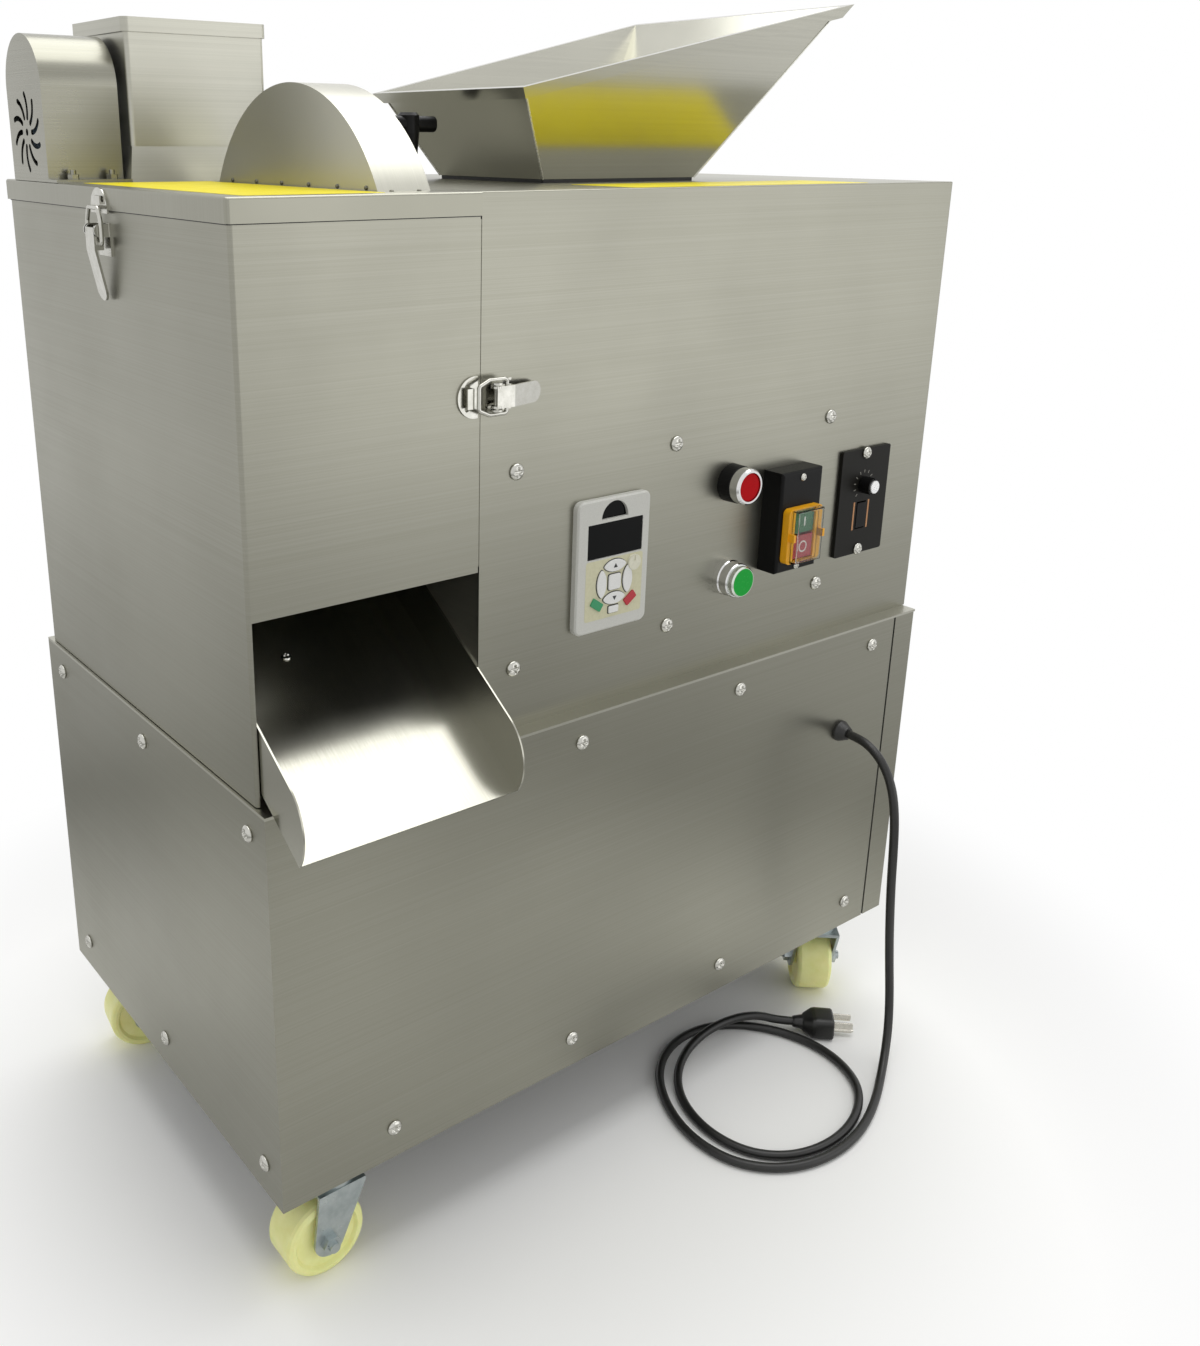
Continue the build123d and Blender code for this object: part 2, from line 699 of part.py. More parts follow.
nozzle_left = across(145.0)
nozzle_mouth = 16.0
with BuildPart() as nozzle:
    turned(
        lengthwise(barrel_yy, barrel_z),
        (
            (barrel_left, bore_r - 0.5),
            (barrel_left, nozzle_spigot),
            (main_left, nozzle_spigot),
            (main_left, 46.0),
            (main_left - 5, 46.0),
            (main_left - 5, 34.0),
            (nozzle_left, 22.0),
            (nozzle_left, nozzle_mouth),
        ),
    )
save(nozzle, "nozzle")

flight_left = barrel_left + 11.0
flight_long = barrel_length - 40.0
flight_r = bore_r - flight_gap
shaft_right = upright_right + 118.0
with BuildPart() as auger:
    with BuildLine() as coil:
        Helix(
            pitch=flight_pitch,
            height=flight_long,
            radius=(flight_r + shaft_r - 2) / 2,
            center=(flight_left, barrel_yy, barrel_z),
            direction=(1, 0, 0),
        )
    coil_start = coil.line @ 0
    inward = Vector(coil_start.X, barrel_yy, barrel_z) - coil_start
    with BuildSketch(Plane(coil_start, x_dir=inward, z_dir=coil.line % 0)):
        Rectangle(flight_r - shaft_r + 2, flight_wall)
    sweep(path=coil.line, is_frenet=True)
    rod((flight_left - 5, barrel_yy, barrel_z), (shaft_right, barrel_yy, barrel_z), shaft_r)
save(auger, "auger")

# Worm gear motor on the upright, the motor hanging through the mid deck
gear_long = 112.0
gear_half = 54.0
gear_low = barrel_z - 70.0
motor_long = 200.0
with BuildPart() as gear_motor:
    slab(
        upright_right,
        upright_right + gear_long,
        barrel_yy - gear_half,
        barrel_yy + gear_half,
        gear_low,
        barrel_z + 56,
    )
    fillet(gear_motor.edges().filter_by(Axis.X), 14)
    rod((motor_x, barrel_yy, gear_low - motor_long), (motor_x, barrel_yy, gear_low + 5), motor_r)
    rod((motor_x, barrel_yy, gear_low - 10), (motor_x, barrel_yy, gear_low), motor_r + 4)
    rod(
        (upright_right - 1, barrel_yy, barrel_z),
        (upright_right + gear_long + 1, barrel_yy, barrel_z),
        shaft_r + run_gap,
        Mode.SUBTRACT,
    )
save(gear_motor, "gear_motor")

# Knife motor behind the bulkhead, knife in the chamber
knife_box = 76.0
knife_box_long = 50.0
knife_motor_clear = 10.6
with BuildPart() as knife_motor:
    slab(
        barrel_left,
        barrel_left + knife_box_long,
        knife_yy - knife_box / 2,
        knife_yy + knife_box / 2,
        knife_z - knife_box / 2,
        knife_z + knife_box / 2,
    )
    fillet(knife_motor.edges().filter_by(Axis.X), 8)
    motor_end = hopper_left - knife_motor_clear
    rod((barrel_left, knife_yy, knife_z), (motor_end, knife_yy, knife_z), 36)
    rod((main_left, knife_yy, knife_z), (barrel_left, knife_yy, knife_z), boss_hole - 0.5)
    rod(
        (main_left - 1, knife_yy, knife_z),
        (barrel_left + 32, knife_yy, knife_z),
        knife_shaft_r + run_gap,
        Mode.SUBTRACT,
    )
save(knife_motor, "knife_motor")

knife_gap = 1.0
knife_right = nozzle_left - knife_gap
hub_r = 18.0
knife_turn = 35.0
blade_outline = (
    (0, -17),
    (0, 17),
    (0.81 * knife_r, 12),
    (0.985 * knife_r, -2),
    (0.985 * knife_r, -12),
    (0.28 * knife_r, -17),
)
with BuildPart() as knife:
    rod((knife_right - knife_wall - 8, knife_yy, knife_z), (main_left - 4, knife_yy, knife_z), hub_r)
    rod((main_left - 4, knife_yy, knife_z), (barrel_left + 30, knife_yy, knife_z), knife_shaft_r)
    for blade_turn in (knife_turn, knife_turn + 180):
        blade_plane = Plane(
            origin=(knife_right - knife_wall, knife_yy, knife_z),
            x_dir=(0, cos(radians(blade_turn)), sin(radians(blade_turn))),
            z_dir=(1, 0, 0),
        )
        with BuildSketch(blade_plane):
            with BuildLine():
                Polyline(*blade_outline, close=True)
            make_face()
        extrude(amount=knife_wall)
save(knife, "knife")

# T-shaped knob through the deck into the barrel's boss
t_bar = (44.0, 12.0, 11.2)
t_bar_up = 40.1
t_hub = ((19, 0), (19, 6.5), (34, 8), (46, 8), (48, 6), (48, 0))
with BuildPart() as t_knob:
    with Locations((t_knob_x, barrel_yy, deck_top + t_bar_up)):
        Box(*t_bar)
    fillet(t_knob.edges().filter_by(Axis.X), 4.5)
    fillet(t_knob.faces().filter_by(Axis.X).edges(), 1.5)
    turned(Plane(origin=(t_knob_x, barrel_yy, deck_top), x_dir=(0, 0, 1), z_dir=(0, -1, 0)), t_hub)
    rod((t_knob_x, barrel_yy, boss_top - 14), (t_knob_x, barrel_yy, deck_top + t_bar_up), stem_r)
    rod((t_knob_x, barrel_yy, deck_top + 0.5), (t_knob_x, barrel_yy, deck_top + 5), stem_r + 3)
save(t_knob, "t_knob")

# Draw latches: keeper, base with ears and pin, lever, wire bail
latch_sheet = 1.2
latch_pivot = (18.0, 7.0)
latch_pin_r = 1.5
latch_bail_u = 26.0
latch_bail_half = 11.0
latch_wire_r = 1.4
latch_lever_half = 7.0
latch_hook_top = 5.0
lever_low = 9.0
lever_wall = 1.6
lever_tip = 2.6
left_latch_plane = Plane(
    origin=(upper_left, deep(barrel_y - 1), deck_top - 8.4), x_dir=(0, 0, -1), z_dir=(-1, 0, 0)
)
front_latch_plane = Plane(
    origin=(across(hood_length - 10), upper_front, lower_top + 238.0), x_dir=(1, 0, 0), z_dir=(0, -1, 0)
)


def latch_keeper(plane, label, lift):
    """Half-moon plate with two holes and a low hook, standing off its face by a lift."""
    with BuildPart(plane) as keeper:
        with BuildSketch(plane.offset(lift)):
            with Locations((5.5, 0)):
                Circle(13.5)
            with Locations((7.5 + 20, 0)):
                Rectangle(40, 40, mode=Mode.SUBTRACT)
            with Locations((-1, -7), (-1, 7)):
                Circle(1.8, mode=Mode.SUBTRACT)
        extrude(amount=latch_sheet)
        slab(-0.5, 2.0, -6.5, 6.5, lift, latch_hook_top)
        slab(-3.0, 2.0, -6.5, 6.5, latch_hook_top - latch_sheet, latch_hook_top)
    save(keeper, label)


def latch_base(plane, label):
    """Plate with two ears and the lever's pin."""
    u, n = latch_pivot
    with BuildPart(plane) as base:
        slab(13.5, 34.0, -10.0, 10.0, 0, latch_sheet)
        for side in (-1, 1):
            ws = sorted((side * 8.0, side * 9.2))
            slab(u - 4, u + 4, *ws, 0, n)
            rod((u, ws[0], n), (u, ws[1], n), 4.0)
        rod((u, -9.2, n), (u, 9.2, n), latch_pin_r)
    save(base, label)


def latch_lever(plane, label, reach):
    """Lever whose handle bends in to the face, with a rounded end and two cheeks on the pin."""
    u, n = latch_pivot
    half = latch_lever_half
    knee = latch_bail_u + 4
    side_view = Plane(origin=plane.origin, x_dir=plane.x_dir, z_dir=-plane.y_dir)
    bends = [(u - 2, lever_low), (knee, lever_low), (reach, lever_tip)]
    bends += [(along, out + lever_wall) for along, out in reversed(bends)]
    with BuildPart(plane) as lever:
        with BuildSketch(side_view):
            with BuildLine():
                Polyline(*bends, close=True)
            make_face()
        extrude(amount=half, both=True)
        with BuildSketch(plane):
            with Locations(((u - 2 + reach - half) / 2, 0)):
                Rectangle(reach - half - u + 2, 2 * half)
            with Locations((reach - half, 0)):
                Circle(half)
        extrude(amount=2 * lever_low, mode=Mode.INTERSECT)
        for side in (-1, 1):
            ws = sorted((side * (half - 1.4), side * half))
            slab(u, knee, *ws, n - 2.6, lever_low)
            rod((u, ws[0], n), (u, ws[1], n), 3.8)
            rod((u, ws[0], n), (u, ws[1], n), latch_pin_r + run_gap, Mode.SUBTRACT)
            rod((latch_bail_u, ws[0], n), (latch_bail_u, ws[1], n), latch_wire_r + run_gap, Mode.SUBTRACT)
    save(lever, label)


def latch_bail(plane, label):
    """Wire loop from the lever's cheeks round the hook."""
    n = latch_pivot[1]
    wide = latch_bail_half
    inner = latch_lever_half - 1.2
    bends = [(latch_bail_u, inner), (latch_bail_u, wide), (12.0, wide), (4.0, 7.5)]
    bends += [(u, -w) for u, w in reversed(bends)]
    route = [plane.from_local_coords(Vector(u, w, n)) for u, w in bends]
    with BuildPart() as bail:
        with BuildLine() as wire:
            FilletPolyline(*route, radius=2.2)
        with BuildSketch(Plane(wire.line @ 0, z_dir=wire.line % 0)):
            Circle(latch_wire_r)
        sweep(path=wire.line)
    save(bail, label)


latch_keeper(left_latch_plane, "left_latch_keeper", skirt_out)
latch_base(left_latch_plane, "left_latch_base")
latch_lever(left_latch_plane, "left_latch_lever", 62.0)
latch_bail(left_latch_plane, "left_latch_bail")
latch_keeper(front_latch_plane, "front_latch_keeper", 0.0)
latch_base(front_latch_plane, "front_latch_base")
latch_lever(front_latch_plane, "front_latch_lever", 56.0)
latch_bail(front_latch_plane, "front_latch_bail")

# Keypad plate with its dial
keypad_size = (68.5, 98.0)
keypad_wall = 5.4
dial_spot = (19.1, -1.8)
dial_r = 5.8
dial_floor = keypad_wall - 2.0
keypad_plane = front_plane(keypad_spot)
with BuildPart(keypad_plane) as keypad:
    with BuildSketch(keypad_plane):
        RectangleRounded(*keypad_size, 6)
    extrude(amount=keypad_wall)
    chamfer(keypad.edges().group_by(Axis.Y)[0], 1.2)
    slab(-keypad_hole[0] / 2 + 1, keypad_hole[0] / 2 - 1, -42, 42, -24, 0)
    with BuildSketch(keypad_plane.offset(keypad_wall)):
        with Locations((0, 34)):
            Circle(12.5)
        with Locations((0, 34 - 20)):
            Rectangle(40, 40, mode=Mode.SUBTRACT)
    extrude(amount=-2.5, mode=Mode.SUBTRACT)
    with BuildSketch(keypad_plane.offset(keypad_wall)):
        with Locations((1.2, 18.8)):
            Rectangle(51.8, 25.6)
    extrude(amount=-0.8, mode=Mode.SUBTRACT)
    with BuildSketch(keypad_plane.offset(keypad_wall)):
        with Locations((1.2, -1.1), (1.2, -25.5)):
            SlotOverall(13, 5.5)
        with Locations((-11.1, -13.3), (13.5, -13.3)):
            SlotOverall(11, 5.5, rotation=90)
        with Locations((1.2, -13.3)):
            Circle(5.5)
        with Locations((-15.1, -28.0)):
            SlotOverall(10, 5, rotation=-35)
        with Locations((16.8, -28.6)):
            SlotOverall(10, 5, rotation=35)
        with Locations((1.0, -33.9)):
            SlotOverall(8, 4)
    extrude(amount=1.0)
    rod((*dial_spot, dial_floor), (*dial_spot, keypad_wall + 1), dial_r + run_gap, Mode.SUBTRACT)
save(keypad, "keypad")

with BuildPart(keypad_plane) as keypad_dial:
    rod((*dial_spot, dial_floor), (*dial_spot, keypad_wall + 2), dial_r)
    with Locations((dial_spot[0], dial_spot[1] + 3, keypad_wall + 2)):
        Box(1.0, 4.0, 1.2, mode=Mode.SUBTRACT)
save(keypad_dial, "keypad_dial")

# Push-buttons
bezel_r = 13.75
red_cap_r = 11.0
green_cap_r = 12.2
button_travel = 4.0
button_body_r = 10.9


def outward(spot, face=None, direction=(0, -1, 0)):
    """Turning plane whose x axis points out of the machine at a spot on the front."""
    y = upper_front if face is None else face
    return Plane(origin=(across(spot[0]), y, above(spot[1])), x_dir=direction, z_dir=(1, 0, 0))


red_front = 19.0
red_floor = red_front - 8.3 - button_travel - 0.7
green_front = 19.0
green_floor = green_front - 12.0 - button_travel - 0.5
with BuildPart() as button_bezels:
    turned(
        outward(red_spot),
        (
            (-28, 0),
            (-28, button_body_r),
            (0, button_body_r),
            (0, bezel_r),
            (red_front - 0.5, bezel_r),
            (red_front + 1, bezel_r - 1.2),
            (red_front + 1, red_cap_r + run_gap),
            (red_floor, red_cap_r + run_gap),
            (red_floor, 0),
        ),
    )
    turned(
        outward(green_spot),
        (
            (-28, 0),
            (-28, button_body_r),
            (0, button_body_r),
            (0, bezel_r + 0.5),
            (5, bezel_r + 0.5),
            (6, bezel_r - 0.2),
            (13, bezel_r - 0.2),
            (14, green_cap_r + 0.7),
            (14, green_cap_r + run_gap),
            (green_floor, green_cap_r + run_gap),
            (green_floor, 0),
        ),
    )
save(button_bezels, "button_bezels")

with BuildPart() as red_button:
    turned(
        outward(red_spot),
        (
            (red_front - 8.3, 0),
            (red_front - 8.3, red_cap_r),
            (red_front - 0.8, red_cap_r),
            (red_front, red_cap_r - 0.8),
            (red_front, 0),
        ),
    )
save(red_button, "red_button")

with BuildPart() as green_button:
    turned(
        outward(green_spot),
        (
            (green_front - 12, 0),
            (green_front - 12, green_cap_r),
            (green_front - 1, green_cap_r),
            (green_front, green_cap_r - 1),
            (green_front, 0),
        ),
    )
save(green_button, "green_button")

# Switch box with a yellow frame, two push-buttons and a soft clear cover
switch_size = (47.0, 80.5)
switch_deep = 19.0
switch_plane = front_plane(switch_spot)
frame_spot = (-0.5, -9.7)
frame_size = (38.6, 44.0)
frame_wall = 6.0
window_half = 11.5
window_low = -29.5
window_high = 10.5
button_half = 11.0
frame_front = switch_deep + frame_wall
on_limits = (-8.2, 9.9)
off_limits = (-28.9, -10.0)
switch_travel = 3.0
button_low = switch_deep - 6.0
with BuildPart(switch_plane) as switch_housing:
    slab(-switch_size[0] / 2, switch_size[0] / 2, -switch_size[1] / 2, switch_size[1] / 2, 0, switch_deep)
    fillet(switch_housing.edges().group_by(Axis.Y)[0], 2.5)
    slab(-18.5, 18.5, -32.5, 32.5, -22, 0)
    slab(
        frame_spot[0] - window_half,
        frame_spot[0] + window_half,
        window_low,
        window_high,
        button_low - switch_travel - 1.5,
        switch_deep + 1,
        Mode.SUBTRACT,
    )
save(switch_housing, "switch_housing")

ear_inner = 15.5
with BuildPart(switch_plane) as switch_frame:
    with BuildSketch(switch_plane.offset(switch_deep)):
        with Locations(frame_spot):
            RectangleRounded(*frame_size, 4)
        with Locations((frame_spot[0], (window_low + window_high) / 2)):
            Rectangle(2 * window_half, window_high - window_low, mode=Mode.SUBTRACT)
    extrude(amount=frame_wall)
    for side in (-1, 1):
        xs = sorted((frame_spot[0] + side * ear_inner, frame_spot[0] + side * (ear_inner + 2.5)))
        slab(*xs, frame_spot[1] - 3, frame_spot[1] + 3, frame_front, frame_front + 5)
save(switch_frame, "switch_frame")

cover_half = ear_inner - 0.4
cover_tall = 42.0
cover_high = 6.0
with BuildPart(switch_plane) as switch_cover:
    slab(
        frame_spot[0] - cover_half,
        frame_spot[0] + cover_half,
        frame_spot[1] - cover_tall / 2,
        frame_spot[1] + cover_tall / 2,
        frame_front,
        frame_front + cover_high,
    )
    fillet(switch_cover.edges().group_by(Axis.Y)[0], 1.6)
    slab(
        frame_spot[0] - cover_half + 1,
        frame_spot[0] + cover_half - 1,
        frame_spot[1] - cover_tall / 2 + 1,
        frame_spot[1] + cover_tall / 2 - 1,
        frame_front,
        frame_front + cover_high - 1,
        Mode.SUBTRACT,
    )
save(switch_cover, "switch_cover")

button_front = frame_front - 1.0
with BuildPart(switch_plane) as switch_on:
    slab(frame_spot[0] - button_half, frame_spot[0] + button_half, *on_limits, button_low, button_front)
    fillet(switch_on.edges().group_by(Axis.Y)[0], 1.0)
save(switch_on, "switch_on")

with BuildPart(switch_plane) as switch_off:
    slab(frame_spot[0] - button_half, frame_spot[0] + button_half, *off_limits, button_low, button_front)
    fillet(switch_off.edges().group_by(Axis.Y)[0], 1.0)
save(switch_off, "switch_off")

# Speed plate with a knob and a rocker
speed_size = (61.0, 90.0)
speed_wall = 3.0
knob_spot = (-0.8, 14.3)
knob_r = 7.0
spindle_r = 3.0
rocker_spot = (-1.1, -11.7)
rocker_half = (5.4, 10.6)
rocker_gap = (0.5, 1.2)
speed_plane = front_plane(speed_spot)
with BuildPart(speed_plane) as speed_plate:
    with BuildSketch(speed_plane):
        RectangleRounded(*speed_size, 2)
    extrude(amount=speed_wall)
    with Locations((0, 0, -11)):
        Box(speed_hole[0] - 2, speed_hole[1] - 2, 22)
    rod((*knob_spot, -9), (*knob_spot, speed_wall + 1), spindle_r + run_gap, Mode.SUBTRACT)
    slab(
        rocker_spot[0] - rocker_half[0] - rocker_gap[0],
        rocker_spot[0] + rocker_half[0] + rocker_gap[0],
        rocker_spot[1] - rocker_half[1] - rocker_gap[1],
        rocker_spot[1] + rocker_half[1] + rocker_gap[1],
        -9,
        speed_wall + 1,
        Mode.SUBTRACT,
    )
save(speed_plate, "speed_plate")

knob_low = speed_wall + 0.4
with BuildPart(speed_plane) as speed_knob:
    rod((*knob_spot, -8), (*knob_spot, knob_low), spindle_r)
    rod((*knob_spot, knob_low), (*knob_spot, knob_low + 10), knob_r)
    rod((*knob_spot, knob_low + 10), (*knob_spot, knob_low + 11.4), knob_r - 1.8)
    slab(
        knob_spot[0] - 0.6,
        knob_spot[0] + 0.6,
        knob_spot[1] + knob_r - 1.2,
        knob_spot[1] + knob_r + 1,
        knob_low + 1,
        knob_low + 11,
        Mode.SUBTRACT,
    )
save(speed_knob, "speed_knob")

rocker_plane = Plane(
    origin=(
        across(speed_spot[0]) + rocker_spot[0] - rocker_half[0],
        upper_front,
        above(speed_spot[1]) + rocker_spot[1],
    ),
    x_dir=(0, 0, 1),
    z_dir=(1, 0, 0),
)
with BuildPart() as speed_rocker:
    with BuildSketch(rocker_plane):
        with BuildLine():
            Polyline(
                (-rocker_half[1], 3.5),
                (rocker_half[1], 3.5),
                (rocker_half[1], -3.2),
                (0, -5.2),
                (-rocker_half[1], -3.2),
                close=True,
            )
        make_face()
    extrude(amount=2 * rocker_half[0])
save(speed_rocker, "speed_rocker")

# Domed screws in the panels and plates
screw_r = 5.0
first_column = 90.0
column_pitch = (cab_length - 58.0 - first_column) / 3
front_columns = [first_column + column_pitch * i for i in range(4)]
side_columns = (23.4, cab_depth / 2 - 2, cab_depth - 30.4)
lower_rows = (25.5, lower_height - 20.5)
upper_columns = (hood_length + 30.5, cab_length - 296.0, cab_length - 125.0)
upper_rows = (lower_height + 45.5, lower_height + 185.0)


def dome(plane, radius):
    """Low domed head standing on a face."""
    turned(
        plane,
        ((0, 0), (0, radius), (0.16 * radius, radius), (0.4 * radius, 0.68 * radius), (0.48 * radius, 0)),
    )


with BuildPart() as panel_screws:
    for row in lower_rows:
        for column in front_columns:
            dome(outward((column, row), cab_front), screw_r)
            dome(outward((column, row), cab_back, (0, 1, 0)), screw_r)
        for column in side_columns:
            for face, way in ((cab_left, -1), (cab_right, 1)):
                spot = (face, deep(column), above(row))
                dome(Plane(origin=spot, x_dir=(way, 0, 0), z_dir=(0, 1, 0)), screw_r)
    for column in upper_columns:
        for row in upper_rows:
            dome(outward((column, row)), screw_r)
    for offset in (-41.2, 41.2):
        dome(outward((speed_spot[0] - 0.8, speed_spot[1] + offset), upper_front - speed_wall), 4.4)
    for offset in (-36.4, 34.8):
        dome(outward((switch_spot[0], switch_spot[1] + offset), upper_front - switch_deep), 2.6)
save(panel_screws, "panel_screws")

# Cord gland, power cord and plug
gland_long = 10.0
with BuildPart() as cord_gland:
    turned(
        outward(gland_spot, cab_front),
        (
            (-9, 0),
            (-9, 10),
            (-sheet, 10),
            (-sheet, gland_r),
            (0, gland_r),
            (0, 9.2),
            (2.5, 9.2),
            (gland_long, 5.4),
            (gland_long, 0),
        ),
    )
save(cord_gland, "cord_gland")

cord_r = cord_d / 2
floor_z = cord_r + 0.25
plug_z = 11.0

# Route of the cord: X from the gland, Y from the lower front panel, Z from the floor
fall = (
    (0.0, -22.0, 297.6),
    (-0.3, -34.1, 294.4),
    (-1.0, -45.6, 287.4),
    (-2.2, -55.5, 276.8),
    (-3.6, -63.2, 261.7),
    (-4.6, -67.9, 241.2),
    (-4.2, -69.7, 215.3),
    (-1.6, -69.5, 185.0),
    (3.4, -68.5, 153.0),
    (9.8, -67.2, 119.5),
    (16.0, -66.6, 87.5),
    (18.8, -68.4, 58.5),
    (14.0, -74.0, 32.5),
    (1.0, -82.3, 14.5),
    (-17.0, -92.5, 5.4),
)
outer_turn = (
    (-40.0, -105.5),
    (-67.5, -118.0),
    (-97.0, -126.0),
    (-127.0, -127.0),
    (-155.5, -120.5),
    (-179.5, -106.0),
    (-196.5, -84.0),
    (-203.0, -56.0),
    (-200.0, -26.5),
    (-188.5, 2.0),
    (-170.0, 27.0),
    (-143.0, 44.5),
    (-111.0, 50.0),
    (-81.0, 43.0),
    (-56.5, 25.0),
    (-38.5, 0.0),
    (-28.5, -29.0),
    (-29.0, -60.0),
    (-41.5, -88.0),
    (-65.0, -106.5),
    (-94.5, -116.5),
    (-125.5, -117.0),
    (-154.5, -108.0),
    (-176.5, -88.5),
    (-186.5, -61.0),
    (-185.5, -31.5),
)
last_rise = (
    (-175.5, -4.0, 4.4),
    (-156.5, 17.5, 6.5),
    (-130.0, 30.0, 10.5),
    (-102.0, 33.0, 14.5),
    (-75.0, 29.0, 17.0),
    (-52.0, 20.0, 16.5),
    (-37.0, 8.9, plug_z),
    (-26.5, -1.0, plug_z),
)
cord_route = [(gland_x, cab_front - gland_long, gland_z)]
cord_route += [(gland_x + x, deep(y), z) for x, y, z in fall]
cord_route += [(gland_x + x, deep(y), floor_z) for x, y in outer_turn]
cord_route += [(gland_x + x, deep(y), z) for x, y, z in last_rise]
cord_points = [Vector(*point) for point in cord_route]
cord_radii = []
for before, here, after in zip(cord_points, cord_points[1:], cord_points[2:]):
    come = here - before
    leave = after - here
    half_turn = radians(come.get_angle(leave)) / 2
    cord_radii.append(0.45 * min(come.length, leave.length) / tan(half_turn))
with BuildPart() as power_cord:
    with BuildLine() as cord_line:
        FilletPolyline(*cord_points, radius=cord_radii)
    with BuildSketch(Plane(cord_line.line @ 0, z_dir=cord_line.line % 0)):
        Circle(cord_r)
    sweep(path=cord_line.line)
save(power_cord, "power_cord")
cord_wire = cord_line.wire()
cord_length = cord_wire.length
samples = [cord_wire @ (i / 400) for i in range(401)]
least_gap = min(
    (samples[i] - samples[j]).length - cord_d
    for i in range(401)
    for j in range(i + 14, 401)
)
print("cord least bend radius", round(min(cord_radii), 1))
print("cord volume", round(power_cord.part.volume), "section x length", round(pi * cord_r**2 * cord_length))
print("cord length", round(cord_length), "least gap to itself", round(least_gap, 2))

plug_way = cord_points[-1] - cord_points[-2]
plug_plane = Plane(cord_points[-1], x_dir=(plug_way.X, plug_way.Y, 0), z_dir=(0, 0, 1))
plug_outline = ((8, -7), (17, -12.5), (36, -12.5), (36, 12.5), (17, 12.5), (8, 7))
plug_half = plug_z - 0.4
with BuildPart(plug_plane) as plug:
    with BuildSketch(plug_plane.offset(-plug_half)):
        with BuildLine():
            Polyline(*plug_outline, close=True)
        make_face()
    extrude(amount=2 * plug_half)
    fillet(plug.edges().filter_by(Axis.Z), 1.5)
    turned(plug_plane, ((0, 0), (0, 4.6), (9, 6.6), (9, 0)))
    for side in (-6.35, 6.35):
        slab(35, 53, side - 0.75, side + 0.75, 0.5, 6.85)
    rod((35, 0, -5.2), (55.5, 0, -5.2), 2.4)
save(plug, "plug")

# Casters: top plates with raceway and pin, forks with axle, wheels
caster_plate = 56.0
caster_plate_wall = 2.5
raceway_r = 20.0
raceway_low = caster_height - 12.0
king_pin_r = 5.0
king_pin_low = wheel_r * 2 + 5.0
crown_low = king_pin_low + 2.0
crown_r = 19.0
fork_gap = 1.0
fork_wall = 2.5
swivel_back = cab_back - caster_inset_y
swivel_front = cab_front + caster_inset_y
caster_spots = (
    ("front_left", cab_left + caster_inset_x, swivel_front, 180.0),
    ("front_right", cab_right - caster_inset_x, swivel_front, 50.0),
    ("back_left", cab_left + caster_inset_x, swivel_back, 172.0),
    ("back_right", cab_right - caster_inset_x, swivel_back, 20.0),
)
with BuildPart() as caster_plates:
    for _, spot_x, spot_y, _ in caster_spots:
        plate_low = caster_height - caster_plate_wall
        slab(
            spot_x - caster_plate / 2,
            spot_x + caster_plate / 2,
            spot_y - caster_plate / 2,
            spot_y + caster_plate / 2,
            plate_low,
            caster_height,
        )
        rod((spot_x, spot_y, raceway_low), (spot_x, spot_y, plate_low), raceway_r)
        rod((spot_x, spot_y, king_pin_low), (spot_x, spot_y, raceway_low), king_pin_r)
        with Locations((spot_x, spot_y, plate_low - 2)):
            with GridLocations(42, 42, 2, 2):
                Cylinder(4.5, 4)
save(caster_plates, "caster_plates")


def caster(name, spot_x, spot_y, turn):
    """Fork with its axle, and the wheel on it."""
    way = (cos(radians(turn)), sin(radians(turn)), 0)
    base = Plane(origin=(spot_x, spot_y, 0), x_dir=way, z_dir=(0, 0, 1))
    inner = wheel_width / 2 + fork_gap
    with BuildPart(base) as fork:
        rod((0, 0, crown_low), (0, 0, raceway_low - 0.3), crown_r)
        slab(-crown_r, crown_r, -inner - fork_wall, inner + fork_wall, crown_low, crown_low + 3)
        for side in (-1, 1):
            leg_near = inner if side > 0 else -inner - fork_wall
            start = base.from_local_coords(Vector(0, leg_near, 0))
            leg_plane = Plane(origin=start, x_dir=way, z_dir=(-way[1], way[0], 0))
            with BuildSketch(leg_plane):
                with Locations((trail, -wheel_r)):
                    Circle(12)
                with Locations((0, -crown_low - 1.5)):
                    Rectangle(2 * crown_r, 3)
                make_hull()
            extrude(amount=fork_wall)
        axle = inner + fork_wall + 8
        rod((trail, -axle, wheel_r), (trail, axle, wheel_r), axle_r)
        for side in (-1, 1):
            head = sorted((side * (inner + fork_wall), side * (inner + fork_wall + 5)))
            head_plane = Plane(
                origin=base.from_local_coords(Vector(trail, head[0], wheel_r)),
                x_dir=way,
                z_dir=(-way[1], way[0], 0),
            )
            with BuildSketch(head_plane):
                RegularPolygon(7.5, 6)
            extrude(amount=5)
        rod((0, 0, king_pin_low - 1), (0, 0, raceway_low), king_pin_r + run_gap, Mode.SUBTRACT)
    save(fork, f"{name}_fork")
    axle_mid = base.from_local_coords(Vector(trail, 0, wheel_r))
    axle_plane = Plane(origin=axle_mid, x_dir=(-way[1], way[0], 0), z_dir=(0, 0, 1))
    half = wheel_width / 2
    with BuildPart() as wheel:
        turned(
            axle_plane,
            (
                (-half - 0.6, axle_r + run_gap),
                (-half - 0.6, 9),
                (-half + 2.5, 9.5),
                (-half + 2.5, wheel_r - 8),
                (-half, wheel_r - 6),
                (-half, wheel_r - 3.5),
                (-half + 1.2, wheel_r - 1.2),
                (-half + 3.5, wheel_r),
                (half - 3.5, wheel_r),
                (half - 1.2, wheel_r - 1.2),
                (half, wheel_r - 3.5),
                (half, wheel_r - 6),
                (half - 2.5, wheel_r - 8),
                (half - 2.5, 9.5),
                (half + 0.6, 9),
                (half + 0.6, axle_r + run_gap),
            ),
        )
    save(wheel, f"{name}_wheel")


for spot in caster_spots:
    caster(*spot)
